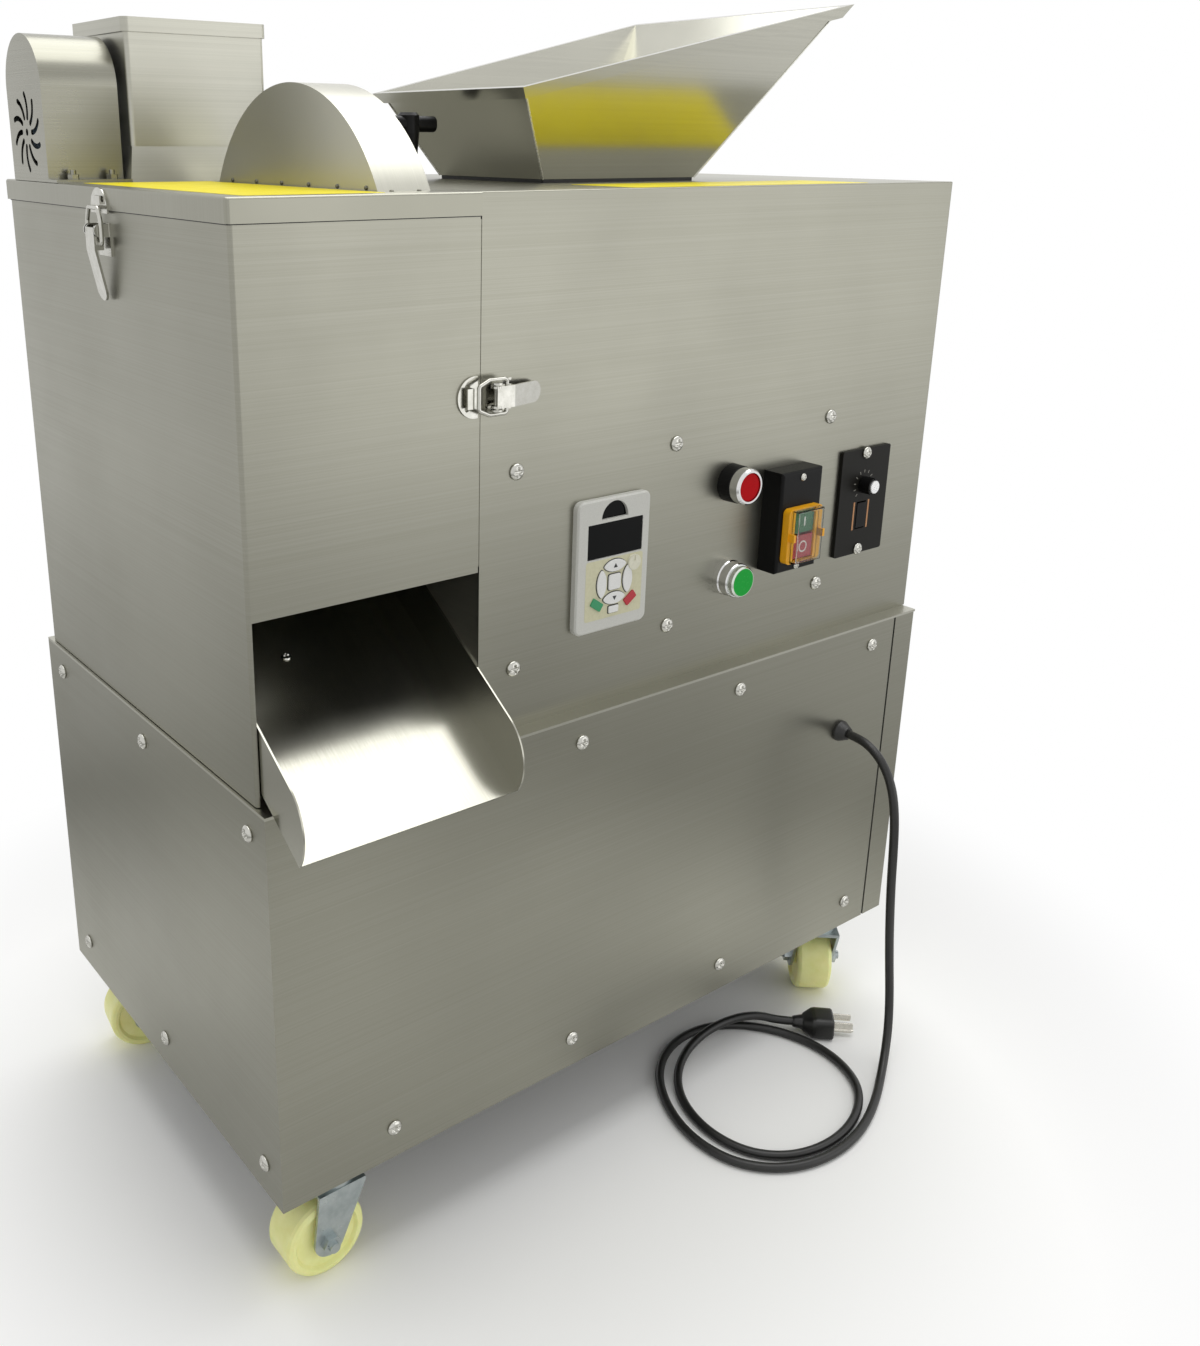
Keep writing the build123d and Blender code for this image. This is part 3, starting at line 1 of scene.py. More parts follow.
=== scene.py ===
"""Looks of a floor-standing dough divider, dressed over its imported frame. Lengths are metres."""

import math

import bpy
import numpy as np
from bpy.props import FloatProperty, FloatVectorProperty, IntProperty, PointerProperty
from mathutils import Matrix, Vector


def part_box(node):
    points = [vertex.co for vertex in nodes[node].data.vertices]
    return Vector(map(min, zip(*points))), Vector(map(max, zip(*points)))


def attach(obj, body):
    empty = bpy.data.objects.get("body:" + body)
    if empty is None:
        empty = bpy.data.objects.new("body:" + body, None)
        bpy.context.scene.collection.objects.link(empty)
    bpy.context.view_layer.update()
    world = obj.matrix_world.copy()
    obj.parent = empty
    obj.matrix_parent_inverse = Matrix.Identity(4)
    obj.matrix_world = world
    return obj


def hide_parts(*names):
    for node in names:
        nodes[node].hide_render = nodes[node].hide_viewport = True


bl_info = {
    "name": "Dough divider looks",
    "version": (1, 0, 0),
    "blender": (4, 5, 0),
    "location": "View3D > Sidebar > Divider",
    "description": "Finishes, small trim, cord and studio for a dough divider",
    "category": "Object",
}

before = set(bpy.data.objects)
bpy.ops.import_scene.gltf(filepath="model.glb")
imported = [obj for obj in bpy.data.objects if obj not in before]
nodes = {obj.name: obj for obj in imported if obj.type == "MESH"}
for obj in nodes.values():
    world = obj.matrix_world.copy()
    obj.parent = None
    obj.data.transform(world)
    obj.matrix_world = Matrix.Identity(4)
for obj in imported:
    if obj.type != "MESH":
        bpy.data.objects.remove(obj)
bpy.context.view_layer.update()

MM = 0.001
RIGHT = np.array((1.0, 0.0, 0.0))
AWAY = np.array((0.0, 1.0, 0.0))
UP = np.array((0.0, 0.0, 1.0))

# Faces that the trim sits on, read from the frame, and the floor
front_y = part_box("main_shell")[0].y
deck_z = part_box("lid")[1].z
floor_z = 0.0

# Hopper: ends, half width, middle and lift of its foot; flare of left, right and sides; height of the
# rim over the deck at its left end, and the rim's slope
hopper_foot = (-13.4 * MM, 141.0 * MM)
hopper_half = 64.6 * MM
hopper_middle = 19.24 * MM
hopper_lift = 2.6 * MM
hopper_flare = (0.626, 0.784, 0.404)
hopper_rim = 64.2 * MM
hopper_tilt = math.radians(12.55)

# Screw in the floor of the chute, slope of that floor, and upper edge of the outlet
chute_screw = (-256.3 * MM, -80.9 * MM, 451.3 * MM)
chute_slope = math.radians(33.5)
outlet_top = 513 * MM

# Uneven sheet: size of a hand smudge, size of the slow wave, change per metre along a brush line
smudge_size = 120 * MM
wave_size = 300 * MM
line_drift = 2.5

# Range that holds most values of a noise
spread = {"From Min": 0.3, "From Max": 0.7}

# Print starts this far under the face that it lies on
print_sunk = 0.02 * MM


def srgb(code):
    """Linear RGBA of an sRGB hex value."""
    channels = [int(code[i:i + 2], 16) / 255 for i in (1, 3, 5)]
    linear = [c / 12.92 if c <= 0.04045 else ((c + 0.055) / 1.055) ** 2.4 for c in channels]
    return (*linear, 1.0)


class SheetSettings(bpy.types.PropertyGroup):
    """Brushed sheet of the housing."""

    light: FloatVectorProperty(
        name="Sheet", description="Colour of the brushed sheet", subtype="COLOR", size=4,
        default=srgb("#98978c"), min=0, max=1)
    dark: FloatVectorProperty(
        name="Brush lines", description="Colour in the brush lines", subtype="COLOR", size=4,
        default=srgb("#929185"), min=0, max=1)
    bright: FloatVectorProperty(
        name="Bright sheet", description="Colour of the finer sheet of hopper, guard and flour box",
        subtype="COLOR", size=4, default=srgb("#b9b8ad"), min=0, max=1)
    roughness: FloatProperty(
        name="Roughness", description="Mean roughness of the brushed sheet", default=0.32, min=0.05,
        max=1)
    line: FloatProperty(
        name="Line width", description="Spacing of the brush lines", default=0.7 * MM, min=0.2 * MM,
        max=10 * MM, unit="LENGTH", precision=5)


class ControlSettings(bpy.types.PropertyGroup):
    """Coloured plastics of the controls."""

    stop: FloatVectorProperty(
        name="Stop", description="Red button cap", subtype="COLOR", size=4,
        default=srgb("#c00b15"), min=0, max=1)
    start: FloatVectorProperty(
        name="Start", description="Green button cap", subtype="COLOR", size=4,
        default=srgb("#1fa83f"), min=0, max=1)
    guard: FloatVectorProperty(
        name="Switch frame", description="Yellow frame of the switch", subtype="COLOR", size=4,
        default=srgb("#f5b012"), min=0, max=1)
    ticks: IntProperty(
        name="Speed marks", description="Marks round the speed knob", default=11, min=2, max=41)


class CordSettings(bpy.types.PropertyGroup):
    """Mains lead."""

    diameter: FloatProperty(
        name="Cord", description="Outside diameter of the cord", default=7.5 * MM, min=3 * MM,
        max=20 * MM, unit="LENGTH", precision=4)
    length: FloatProperty(
        name="Length", description="Length of the cord from gland to plug", default=1.323, min=0.3,
        max=5, unit="LENGTH")


class StageSettings(bpy.types.PropertyGroup):
    """Floor, light and camera."""

    floor: FloatVectorProperty(
        name="Floor", description="Colour of the floor", subtype="COLOR", size=4,
        default=srgb("#fafaf8"), min=0, max=1)
    surround: FloatVectorProperty(
        name="Surround", description="Colour of the floor further out", subtype="COLOR", size=4,
        default=srgb("#9b9b97"), min=0, max=1)
    key: FloatProperty(
        name="Overhead", description="Overhead soft light", default=48.0, min=0, max=500,
        unit="POWER")
    card: FloatProperty(
        name="Front card", description="Soft light low in front", default=6.0, min=0, max=500,
        unit="POWER")
    fill: FloatProperty(
        name="Fill", description="Strength of the even fill light", default=0.6, min=0, max=2)


def add(tree, kind, values=None, links=None, **settings):
    """Add one node, with its settings, the values of its inputs and what is linked to them."""
    made = tree.nodes.new(kind)
    for key, value in settings.items():
        setattr(made, key, value)
    for key, value in (values or {}).items():
        made.inputs[key].default_value = value
    for key, socket in (links or {}).items():
        tree.links.new(socket, made.inputs[key])
    return made


def surface(name, values):
    """New material with one Principled shader; returns the material, its tree and the shader."""
    made = bpy.data.materials.new(name)
    made.use_nodes = True
    tree = made.node_tree
    tree.nodes.clear()
    shader = add(tree, "ShaderNodeBsdfPrincipled", values)
    add(tree, "ShaderNodeOutputMaterial", links={"Surface": shader.outputs["BSDF"]})
    return made, tree, shader


def brushed(name, tones, roughness, line, grain, drawn=0.0):
    """Stainless sheet with a No. 4 finish: ground in one direction with a belt.

    The eye sees faint long streaks, a sheen drawn out across them, hand smudges, and a slow waviness
    that bends reflections, because thin sheet never lies quite flat. The same slow wave is painted into
    the colour as light and shade, a few percent lighter or darker from place to place. A belt leaves
    lines of about 0.05 mm; they are drawn as wide as a line needs to be to show. grain is the change
    per metre along X, Y and Z, with 0 for the direction across the lines, and drawn is the anisotropy.
    """
    made, tree, shader = surface(name, {"Metallic": 1.0, "Anisotropic": drawn})
    spot = add(tree, "ShaderNodeTexCoord").outputs["Object"]
    laid = add(tree, "ShaderNodeMapping", {"Scale": [g or 1 / line for g in grain]}, {"Vector": spot})
    streak = add(tree, "ShaderNodeTexNoise", {"Scale": 1.0, "Detail": 3.0, "Roughness": 0.6},
                 {"Vector": laid.outputs["Vector"]}).outputs["Fac"]
    smudge = add(tree, "ShaderNodeTexNoise",
                 {"Scale": 1 / smudge_size, "Detail": 4.0, "Roughness": 0.55},
                 {"Vector": spot}).outputs["Fac"]
    wave = add(tree, "ShaderNodeTexNoise", {"Scale": 1 / wave_size, "Detail": 1.0},
               {"Vector": spot}).outputs["Fac"]
    tone = add(tree, "ShaderNodeMapRange", spread, {"Value": streak})
    colour = add(tree, "ShaderNodeMixRGB", {"Color1": tones[0], "Color2": tones[1]},
                 {"Fac": tone.outputs["Result"]})
    # Painted light and shade: the slow wave scales the colour between 0.92 and 1.06
    bow_shade = add(tree, "ShaderNodeMapRange",
              {"From Min": 0.35, "From Max": 0.65, "To Min": 0.92, "To Max": 1.06}, {"Value": wave})
    shade = add(tree, "ShaderNodeVectorMath", operation="SCALE",
                links={0: colour.outputs["Color"], "Scale": bow_shade.outputs["Result"]})
    lined = add(tree, "ShaderNodeMapRange",
                {**spread, "To Min": roughness - 0.008, "To Max": roughness + 0.012}, {"Value": streak})
    smeared = add(tree, "ShaderNodeMapRange",
                  {"From Min": 0.35, "From Max": 0.7, "To Min": -0.02, "To Max": 0.05},
                  {"Value": smudge})
    rough = add(tree, "ShaderNodeMath", operation="ADD", use_clamp=True,
                links={0: lined.outputs["Result"], 1: smeared.outputs["Result"]})
    bent = add(tree, "ShaderNodeBump", {"Strength": 0.25, "Distance": 2 * MM}, {"Height": wave})
    relief = add(tree, "ShaderNodeBump", {"Strength": 0.02, "Distance": 0.1 * MM},
                 {"Height": streak, "Normal": bent.outputs["Normal"]})
    tree.links.new(shade.outputs["Vector"], shader.inputs["Base Color"])
    tree.links.new(rough.outputs["Value"], shader.inputs["Roughness"])
    tree.links.new(relief.outputs["Normal"], shader.inputs["Normal"])
    if drawn:
        along = add(tree, "ShaderNodeTangent", direction_type="RADIAL", axis="Z")
        tree.links.new(along.outputs["Tangent"], shader.inputs["Tangent"])
    return made


def mottled(name, light, dark, grain, rough, bump, **values):
    """Finish whose colour, roughness and relief all drift with one noise of a given grain size.

    light and dark are the two colours and rough the two roughness values. grain and bump are the size
    and the height of the relief in millimetres, and values goes to the shader as it is.
    """
    made, tree, shader = surface(name, {k.replace("_", " "): v for k, v in values.items()})
    spot = add(tree, "ShaderNodeTexCoord")
    drift = add(tree, "ShaderNodeTexNoise",
                {"Scale": 1 / (grain * MM), "Detail": 4.0, "Roughness": 0.6},
                {"Vector": spot.outputs["Object"]}).outputs["Fac"]
    tone = add(tree, "ShaderNodeMapRange", spread, {"Value": drift})
    colour = add(tree, "ShaderNodeMixRGB", {"Color1": light, "Color2": dark},
                 {"Fac": tone.outputs["Result"]})
    sheen = add(tree, "ShaderNodeMapRange", {**spread, "To Min": rough[0], "To Max": rough[1]},
                {"Value": drift})
    relief = add(tree, "ShaderNodeBump", {"Strength": 0.3, "Distance": bump * MM}, {"Height": drift})
    tree.links.new(colour.outputs["Color"], shader.inputs["Base Color"])
    tree.links.new(sheen.outputs["Result"], shader.inputs["Roughness"])
    tree.links.new(relief.outputs["Normal"], shader.inputs["Normal"])
    return made


def finish_nodes(material, *names):
    """Give one finish to these nodes of the frame."""
    for name in names:
        slots = nodes[name].data.materials
        slots.clear()
        slots.append(material)


def middle_of(node, y=None):
    """Middle of a node as seen from the front, on its own front or at another depth."""
    low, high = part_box(node)
    return np.array(((low.x + high.x) / 2, low.y if y is None else y, (low.z + high.z) / 2))


def quads(rows, columns):
    """Faces of a grid of rows x columns points, closed round the columns."""
    row = np.arange(rows - 1)[:, None]
    column = np.arange(columns)[None, :]
    beside = (column + 1) % columns
    here, above = row * columns, (row + 1) * columns
    corners = (here + column, here + beside, above + beside, above + column)
    return np.stack(np.broadcast_arrays(*corners), axis=-1).reshape(-1, 4)


def placed(local, origin, right, up):
    """Points given as (across, up, out) of a face with its origin and two directions, in the frame."""
    out = np.cross(right, up)
    return np.asarray(origin) + local @ np.stack((right, up, out))


class Shape:
    """Points and faces of one piece, gathered from several patches."""

    def __init__(self):
        self.points = []
        self.faces = []
        self.count = 0

    def take(self, points, faces):
        """Add a patch."""
        self.points.append(points.reshape(-1, 3))
        self.faces += [tuple(int(i) + self.count for i in face) for face in faces]
        self.count += len(self.points[-1])

    def piece(self, name, body, material, slot, smooth=False):
        """Make the mesh object, and let it ride on a body."""
        mesh = bpy.data.meshes.new(name)
        mesh.from_pydata(np.concatenate(self.points).tolist(), [], self.faces)
        mesh.polygons.foreach_set("use_smooth", np.full(len(mesh.polygons), smooth))
        mesh.materials.append(material)
        made = bpy.data.objects.new(name, mesh)
        bpy.context.scene.collection.objects.link(made)
        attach(made, body)
        return made


def plate(shape, outline, low, high, edge, origin, right=RIGHT, up=UP):
    """Flat plate with a broken edge: the outline at low, again below high, drawn in by edge at high."""
    way = outline - outline.mean(axis=0)
    inset = outline - edge * way / np.linalg.norm(way, axis=1, keepdims=True)
    loops = ((outline, low), (outline, high - edge), (inset, high))
    rings = np.stack([np.column_stack((ring, np.full(len(ring), height))) for ring, height in loops])
    count = len(outline)
    ends = [tuple(range(count))[::-1], tuple(range(2 * count, 3 * count))]
    faces = [*quads(3, count).tolist(), *ends]
    shape.take(placed(rings.reshape(-1, 3), origin, right, up), faces)


def band(shape, inner, outer, low, high, origin, right=RIGHT, up=UP):
    """Flat ring between two like outlines: four loops of points, the last joined to the first."""
    loops = ((inner, low), (outer, low), (outer, high), (inner, high))
    rings = np.stack([np.column_stack((ring, np.full(len(ring), height))) for ring, height in loops])
    count = len(outer)
    last = quads(2, count)
    last = np.where(last >= count, last - count, last + 3 * count)
    faces = [*quads(4, count).tolist(), *last.tolist()]
    shape.take(placed(rings.reshape(-1, 3), origin, right, up), faces)


def swung(flat, turn, centre):
    """Flat points turned by an angle and moved to a centre."""
    c, s = math.cos(turn), math.sin(turn)
    return flat @ np.array(((c, s), (-s, c))) + np.asarray(centre)


def rounded(width, height, radius, centre=(0.0, 0.0), turn=0.0, steps=6):
    """Outline of a rectangle with round corners: a quarter circle at each corner in turn."""
    quarter = np.linspace(0, math.pi / 2, steps)
    angle = np.concatenate([quarter + k * math.pi / 2 for k in range(4)])
    signs = np.repeat(np.array(((1, 1), (-1, 1), (-1, -1), (1, -1))), steps, axis=0)
    half = np.array((width / 2 - radius, height / 2 - radius))
    return swung(signs * half + radius * np.column_stack((np.cos(angle), np.sin(angle))), turn, centre)


def lens(long, wide, centre, turn=0.0, steps=24):
    """Outline of a lens-shaped key: an ellipse, its ends drawn to a point by a power of the sine."""
    power = 1.35
    angle = np.linspace(0, 2 * math.pi, steps, endpoint=False)
    x = long / 2 * np.cos(angle)
    y = wide / 2 * np.sign(np.sin(angle)) * np.abs(np.sin(angle)) ** power
    return swung(np.column_stack((x, y)), turn, centre)


def turned(shape, profile, origin, out, closed=False, steps=40):
    """Profile of (along, radius) points turned round an axis; a closed profile makes a ring."""
    profile = np.asarray(profile, float)
    if closed:
        profile = np.vstack((profile, profile[:1]))
    out = np.asarray(out, float)
    side = np.cross(out, UP if abs(out[2]) < 0.9 else RIGHT)
    side /= np.linalg.norm(side)
    other = np.cross(out, side)
    angle = np.linspace(0, 2 * math.pi, steps, endpoint=False)
    round_way = np.cos(angle)[:, None] * side + np.sin(angle)[:, None] * other
    rings = profile[:, None, :1] * out + profile[:, None, 1:] * round_way
    faces = quads(len(profile), steps)
    points = rings + np.asarray(origin)
    last = (len(profile) - 1) * steps
    if closed:
        shape.take(points[:-1], (faces % last).tolist())
    else:
        ends = [tuple(range(steps))[::-1], tuple(range(last, last + steps))]
        shape.take(points, [*faces.tolist(), *ends])


def screw_head(shape, origin, out, radius, steps=(18, 36)):
    """Domed head with a cross recess.

    Height over a disc is a flat dome, less a cross: two crossed arms, deepest at the middle,
    whose sides slope over a short width. Sizes are shares of the radius.
    """
    turn, dome_high, dome_fall = 0.35, 0.6, 0.92
    arm, reach, slope, depth = 0.16, 0.62, 0.07, 0.36
    share = np.linspace(0, 1, steps[0])[:, None]
    angle = np.linspace(0, 2 * math.pi, steps[1], endpoint=False)[None, :] + turn
    x = share * np.cos(angle)
    y = share * np.sin(angle)
    dome = dome_high * np.sqrt(np.clip(1 - dome_fall * share**2, 0, 1))
    one = np.clip((arm - np.abs(x)) / slope + 0.5, 0, 1) * np.clip((reach - np.abs(y)) / slope, 0, 1)
    two = np.clip((arm - np.abs(y)) / slope + 0.5, 0, 1) * np.clip((reach - np.abs(x)) / slope, 0, 1)
    height = dome - depth * np.maximum(one, two) * (1 - 0.5 * share)
    out = np.asarray(out, float)
    right = np.cross(UP, out)
    right /= np.linalg.norm(right)
    up = np.cross(out, right)
    local = radius * np.stack(np.broadcast_arrays(x, y, height), axis=-1)
    foot = local[-1].copy()
    foot[:, 2] = 0
    grid = np.concatenate((local[1:], foot[None])).reshape(-1, 3)
    points = placed(np.vstack((local[0, :1], grid)), origin, right, up)
    count = steps[1]
    ring = np.arange(count)
    tip = np.column_stack((np.zeros(count, int), 1 + ring, 1 + (ring + 1) % count))
    sides = quads(steps[0], count) + 1
    base = tuple(range(len(points) - count, len(points)))[::-1]
    shape.take(points, [*tip.tolist(), *sides[:, [0, 3, 2, 1]].tolist(), base])


def heads_of(node):
    """Foot, outward axis and radius of each head in a node: points close together are one head."""
    reach = 12 * MM
    left = np.array([v.co for v in nodes[node].data.vertices])
    while len(left):
        near = np.linalg.norm(left - left[0], axis=1) < reach
        group = left[near]
        left = left[~near]
        low, high = group.min(axis=0), group.max(axis=0)
        axis = int(np.argmin(high - low))
        way = np.zeros(3)
        way[axis] = math.copysign(1, low[axis])
        foot = (low + high) / 2
        foot[axis] = low[axis] if way[axis] > 0 else high[axis]
        yield foot, way, (high - low).max() / 2


class DIVIDER_OT_sheet(bpy.types.Operator):
    """Finish the sheet steel of the housing, the hopper, the chute and the feed train"""

    bl_idname = "divider.sheet"
    bl_label = "Sheet steel"

    def execute(self, context):
        sheet = context.scene.divider_sheet
        line, rough = sheet.line, sheet.roughness
        rolled, worn = rough - 0.05, rough - 0.12
        drawn, line_shade = 0.4, 0.92
        level, flat = (line_drift, line_drift, 0), (line_drift, 0, line_drift)
        steep = (0, line_drift, line_drift)
        plain = (tuple(sheet.light), tuple(sheet.dark))
        fine = (tuple(sheet.bright), tuple(line_shade * c for c in sheet.bright[:3]) + (1.0,))
        wall = brushed("stainless_brushed_level", plain, rough, line, level, drawn)
        panels = [f"lower_{side}_panel" for side in ("front", "left", "right", "back")]
        finish_nodes(wall, "main_shell", "hood_shell", "shell_hinges", *panels)
        # inner_frame, the ledge, takes this brighter sheet as painted light, so that it and its
        # reflection in the wall above read lighter
        box = brushed("stainless_fine_level_and_lit_ledge", fine, rough, line, level, drawn)
        finish_nodes(box, "flour_box", "flour_box_lid", "inner_frame")
        top = brushed("stainless_brushed_flat", plain, rough, line, flat)
        finish_nodes(top, "top_deck", "lid")
        arch = brushed("stainless_brushed_arch", plain, rolled, line, level)
        finish_nodes(arch, "flour_motor_cover")
        drum = brushed("stainless_fine_drum", fine, rough, line, steep)
        finish_nodes(drum, "knife_guard")
        # Dough has worn chute and hopper smoother than the housing
        slide = brushed("stainless_worn_slope", (srgb("#aeada2"), srgb("#a6a59a")), worn, line, steep)
        finish_nodes(slide, "chute")
        funnel = brushed("stainless_fine_funnel", fine, worn, line, flat)
        finish_nodes(funnel, "hopper")
        # Turned pieces: bright, with fine tool marks round their length
        tool_mark, round_drift = 0.8 * MM, 40
        lathe = (srgb("#c4c3bb"), srgb("#b2b1a8"))
        feed = brushed("stainless_turned", lathe, 0.22, tool_mark, (0, round_drift, round_drift))
        finish_nodes(feed, "barrel", "nozzle", "auger", "knife", "flour_agitator")
        self.trim(wall)
        self.highlight_beads()
        return {"FINISHED"}

    def trim(self, steel):
        """Strip behind the hood's seam; black ring under the hopper, a seal and painted shade of the
        gap at its foot; painted shadow strip under the lid.
        """
        seam_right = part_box("main_shell")[0].x
        low, high = outlet_top + 2 * MM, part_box("lid")[0].z - 2 * MM
        back = (0, front_y + 1.3 * MM, 0)
        edge = 0.1 * MM
        strip = Shape()
        web = rounded(3.5 * MM, high - low, 0.3 * MM, (seam_right - 1.8 * MM, (low + high) / 2))
        plate(strip, web, -0.6 * MM, 0, edge, back)
        rib = rounded(0.86 * MM, high - low, 0.2 * MM, (seam_right - 0.46 * MM, (low + high) / 2))
        plate(strip, rib, -0.1 * MM, 0.95 * MM, edge, back)
        strip.piece("hood_seam_strip", "machine", steel, "stainless")
        # Near-black rubber, no highlight to speak of: partly a seal, partly painted shade of the gaps
        # under hopper and lid
        rubber = mottled("epdm_black_and_gap_shade", srgb("#0d0d0c"), srgb("#151514"), 2, (0.5, 0.65), 0.03)
        # Black ring round the hopper's foot: a rubber seal, and painted shade of the dark gap there
        inset, wall, tall = 2 * MM, 1.5 * MM, 2.55 * MM
        centre = (hopper_foot[0] + hopper_foot[1]) / 2, hopper_middle
        wide, deep = hopper_foot[1] - hopper_foot[0] - 2 * inset, 2 * (hopper_half - inset)
        inner = rounded(wide, deep, 0.2 * MM, centre)
        outer = rounded(wide + 2 * wall, deep + 2 * wall, wall, centre)
        ring = Shape()
        band(ring, inner, outer, deck_z, deck_z + tall, (0, 0, 0), RIGHT, AWAY)
        ring.piece("hopper_seal_and_shade", "machine", rubber, "black_plastic")
        self.skirt_shadow(rubber)

    def skirt_shadow(self, rubber):
        """Painted shadow under the lid's skirt: a thin near-black strip along its front and its left
        side, in the shaded gap below the skirt.
        """
        low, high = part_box("lid")
        inset, thick, short_of_back = 0.4 * MM, 0.7 * MM, 14 * MM
        bottom, top = low.z - 0.55 * MM, low.z + 0.05 * MM
        near, left = low.y + inset + thick / 2, low.x + inset + thick / 2
        deep = high.y - low.y - short_of_back
        edge = Shape()
        for size, middle in (
                ((high.x - low.x - inset, thick), ((low.x + inset + high.x) / 2, near)),
                ((thick, deep), (left, low.y + inset + deep / 2))):
            plate(edge, rounded(*size, 0.2 * MM, middle), bottom, top, 0.1 * MM, (0, 0, 0), RIGHT, AWAY)
        edge.piece("lid_skirt_shadow", "lid", rubber, "black_plastic")

    def highlight_beads(self):
        """Round beads along the four welded corners of the hopper, straight from its foot to its rim,
        in a colour brighter than the sheet: a painted highlight of the rounded corners.
        """
        # Weld ground smooth, and a painted highlight: a line brighter than the sheet beside it
        weld_highlight = mottled("weld_painted_highlight", srgb("#d6d5cc"), srgb("#c4c3b9"), 2, (0.2, 0.32), 0.03,
                       Metallic=1.0)
        radius, below_rim = 0.7 * MM, 3 * MM
        left, right = hopper_foot
        slope = math.tan(hopper_tilt)
        start = left - hopper_flare[0] * hopper_rim
        highlight_beads = Shape()
        for foot, way, flare in ((left, -1, hopper_flare[0]), (right, 1, hopper_flare[1])):
            climb = hopper_rim - hopper_lift + slope * (foot - start)
            rise = climb / (1 - slope * way * flare) - below_rim
            for side in (-1, 1):
                low = np.array((foot, hopper_middle + side * hopper_half, deck_z + hopper_lift))
                edge = rise * np.array((way * flare, side * hopper_flare[2], 1.0))
                long = np.linalg.norm(edge)
                turned(highlight_beads, ((0, radius), (long, radius)), low, edge / long, steps=12)
        highlight_beads.piece("hopper_weld_highlights", "machine", weld_highlight, "stainless")


class DIVIDER_OT_fasteners(bpy.types.Operator):
    """Screws with a cross recess, the latches, and the rivets of the guard"""

    bl_idname = "divider.fasteners"
    bl_label = "Screws and latches"

    def execute(self, context):
        # Polished heads: one small sharp highlight on each
        bright = mottled("stainless_bright", srgb("#c8c7c0"), srgb("#bab9b2"), 3, (0.07, 0.13),
                         0.005, Metallic=1.0)
        # A washer face makes each head wider than its solid
        flange, chute_head = 1.15, 3.4 * MM
        heads = Shape()
        for foot, way, radius in heads_of("panel_screws"):
            screw_head(heads, foot, way, flange * radius)
        screw_head(heads, chute_screw, (0, -math.sin(chute_slope), math.cos(chute_slope)), chute_head)
        piece = heads.piece("screw_heads", "machine", bright, "zinc", smooth=True)
        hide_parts("panel_screws")
        # Tumbled pressings: a soft highlight along every bend
        plain = mottled("stainless_pressed", srgb("#c4c3bc"), srgb("#b6b5ad"), 6, (0.14, 0.22),
                        0.01, Metallic=1.0)
        for part in ("keeper", "base", "lever", "bail"):
            finish_nodes(plain, f"left_latch_{part}", f"front_latch_{part}")
        self.rivets()
        return {"FINISHED"}

    def rivets(self):
        """Small round heads at the foot of the knife guard: on its flat side and before its rim."""
        # Bare rivets: dull, darker than the sheet
        dull = mottled("rivet_steel", srgb("#77766c"), srgb("#6a695f"), 2, (0.3, 0.45), 0.02,
                       Metallic=1.0)
        low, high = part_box("knife_guard")
        profile = np.array(((0.0, 1.5), (0.6, 1.4), (1.0, 1.0), (1.2, 0.05))) * MM
        above_deck, before_rim, sides = 1.7 * MM, 2.4 * MM, 16
        heads = Shape()
        for share in (0.06, 0.22, 0.39, 0.56, 0.73, 0.9):
            spot = (low.x, low.y + share * (high.y - low.y), deck_z + above_deck)
            turned(heads, profile, spot, -RIGHT, steps=sides)
        for share in (0.22, 0.74):
            spot = (low.x + share * (high.x - low.x), low.y - before_rim, deck_z)
            turned(heads, profile, spot, UP, steps=sides)
        heads.piece("guard_rivets", "lid", dull, "stainless")


class DIVIDER_OT_drive(bpy.types.Operator):
    """Paint of the frame and the motors, and the knob on the deck"""

    bl_idname = "divider.drive"
    bl_label = "Frame and drive"

    def execute(self, context):
        # Enamel: an even coat with a soft sheen
        paint = mottled("enamel_frame_grey", srgb("#4a4d50"), srgb("#3f4245"), 6, (0.4, 0.55), 0.05)
        finish_nodes(paint, "base_frame")
        motor = mottled("enamel_motor_blue", srgb("#5d6f7c"), srgb("#536570"), 4, (0.3, 0.42), 0.04)
        finish_nodes(motor, "gear_motor", "flour_motor")
        # Cast alloy: pale and grainy
        alloy = mottled("alloy_cast", srgb("#b9babb"), srgb("#a9aaab"), 1.5, (0.38, 0.5), 0.05,
                        Metallic=1.0)
        finish_nodes(alloy, "knife_motor")
        # Moulded phenolic: black, with a weak shine
        knob = mottled("phenolic_black", srgb("#111111"), srgb("#181817"), 2, (0.28, 0.4), 0.03,
                       Specular_IOR_Level=0.15)
        finish_nodes(knob, "t_knob")
        return {"FINISHED"}


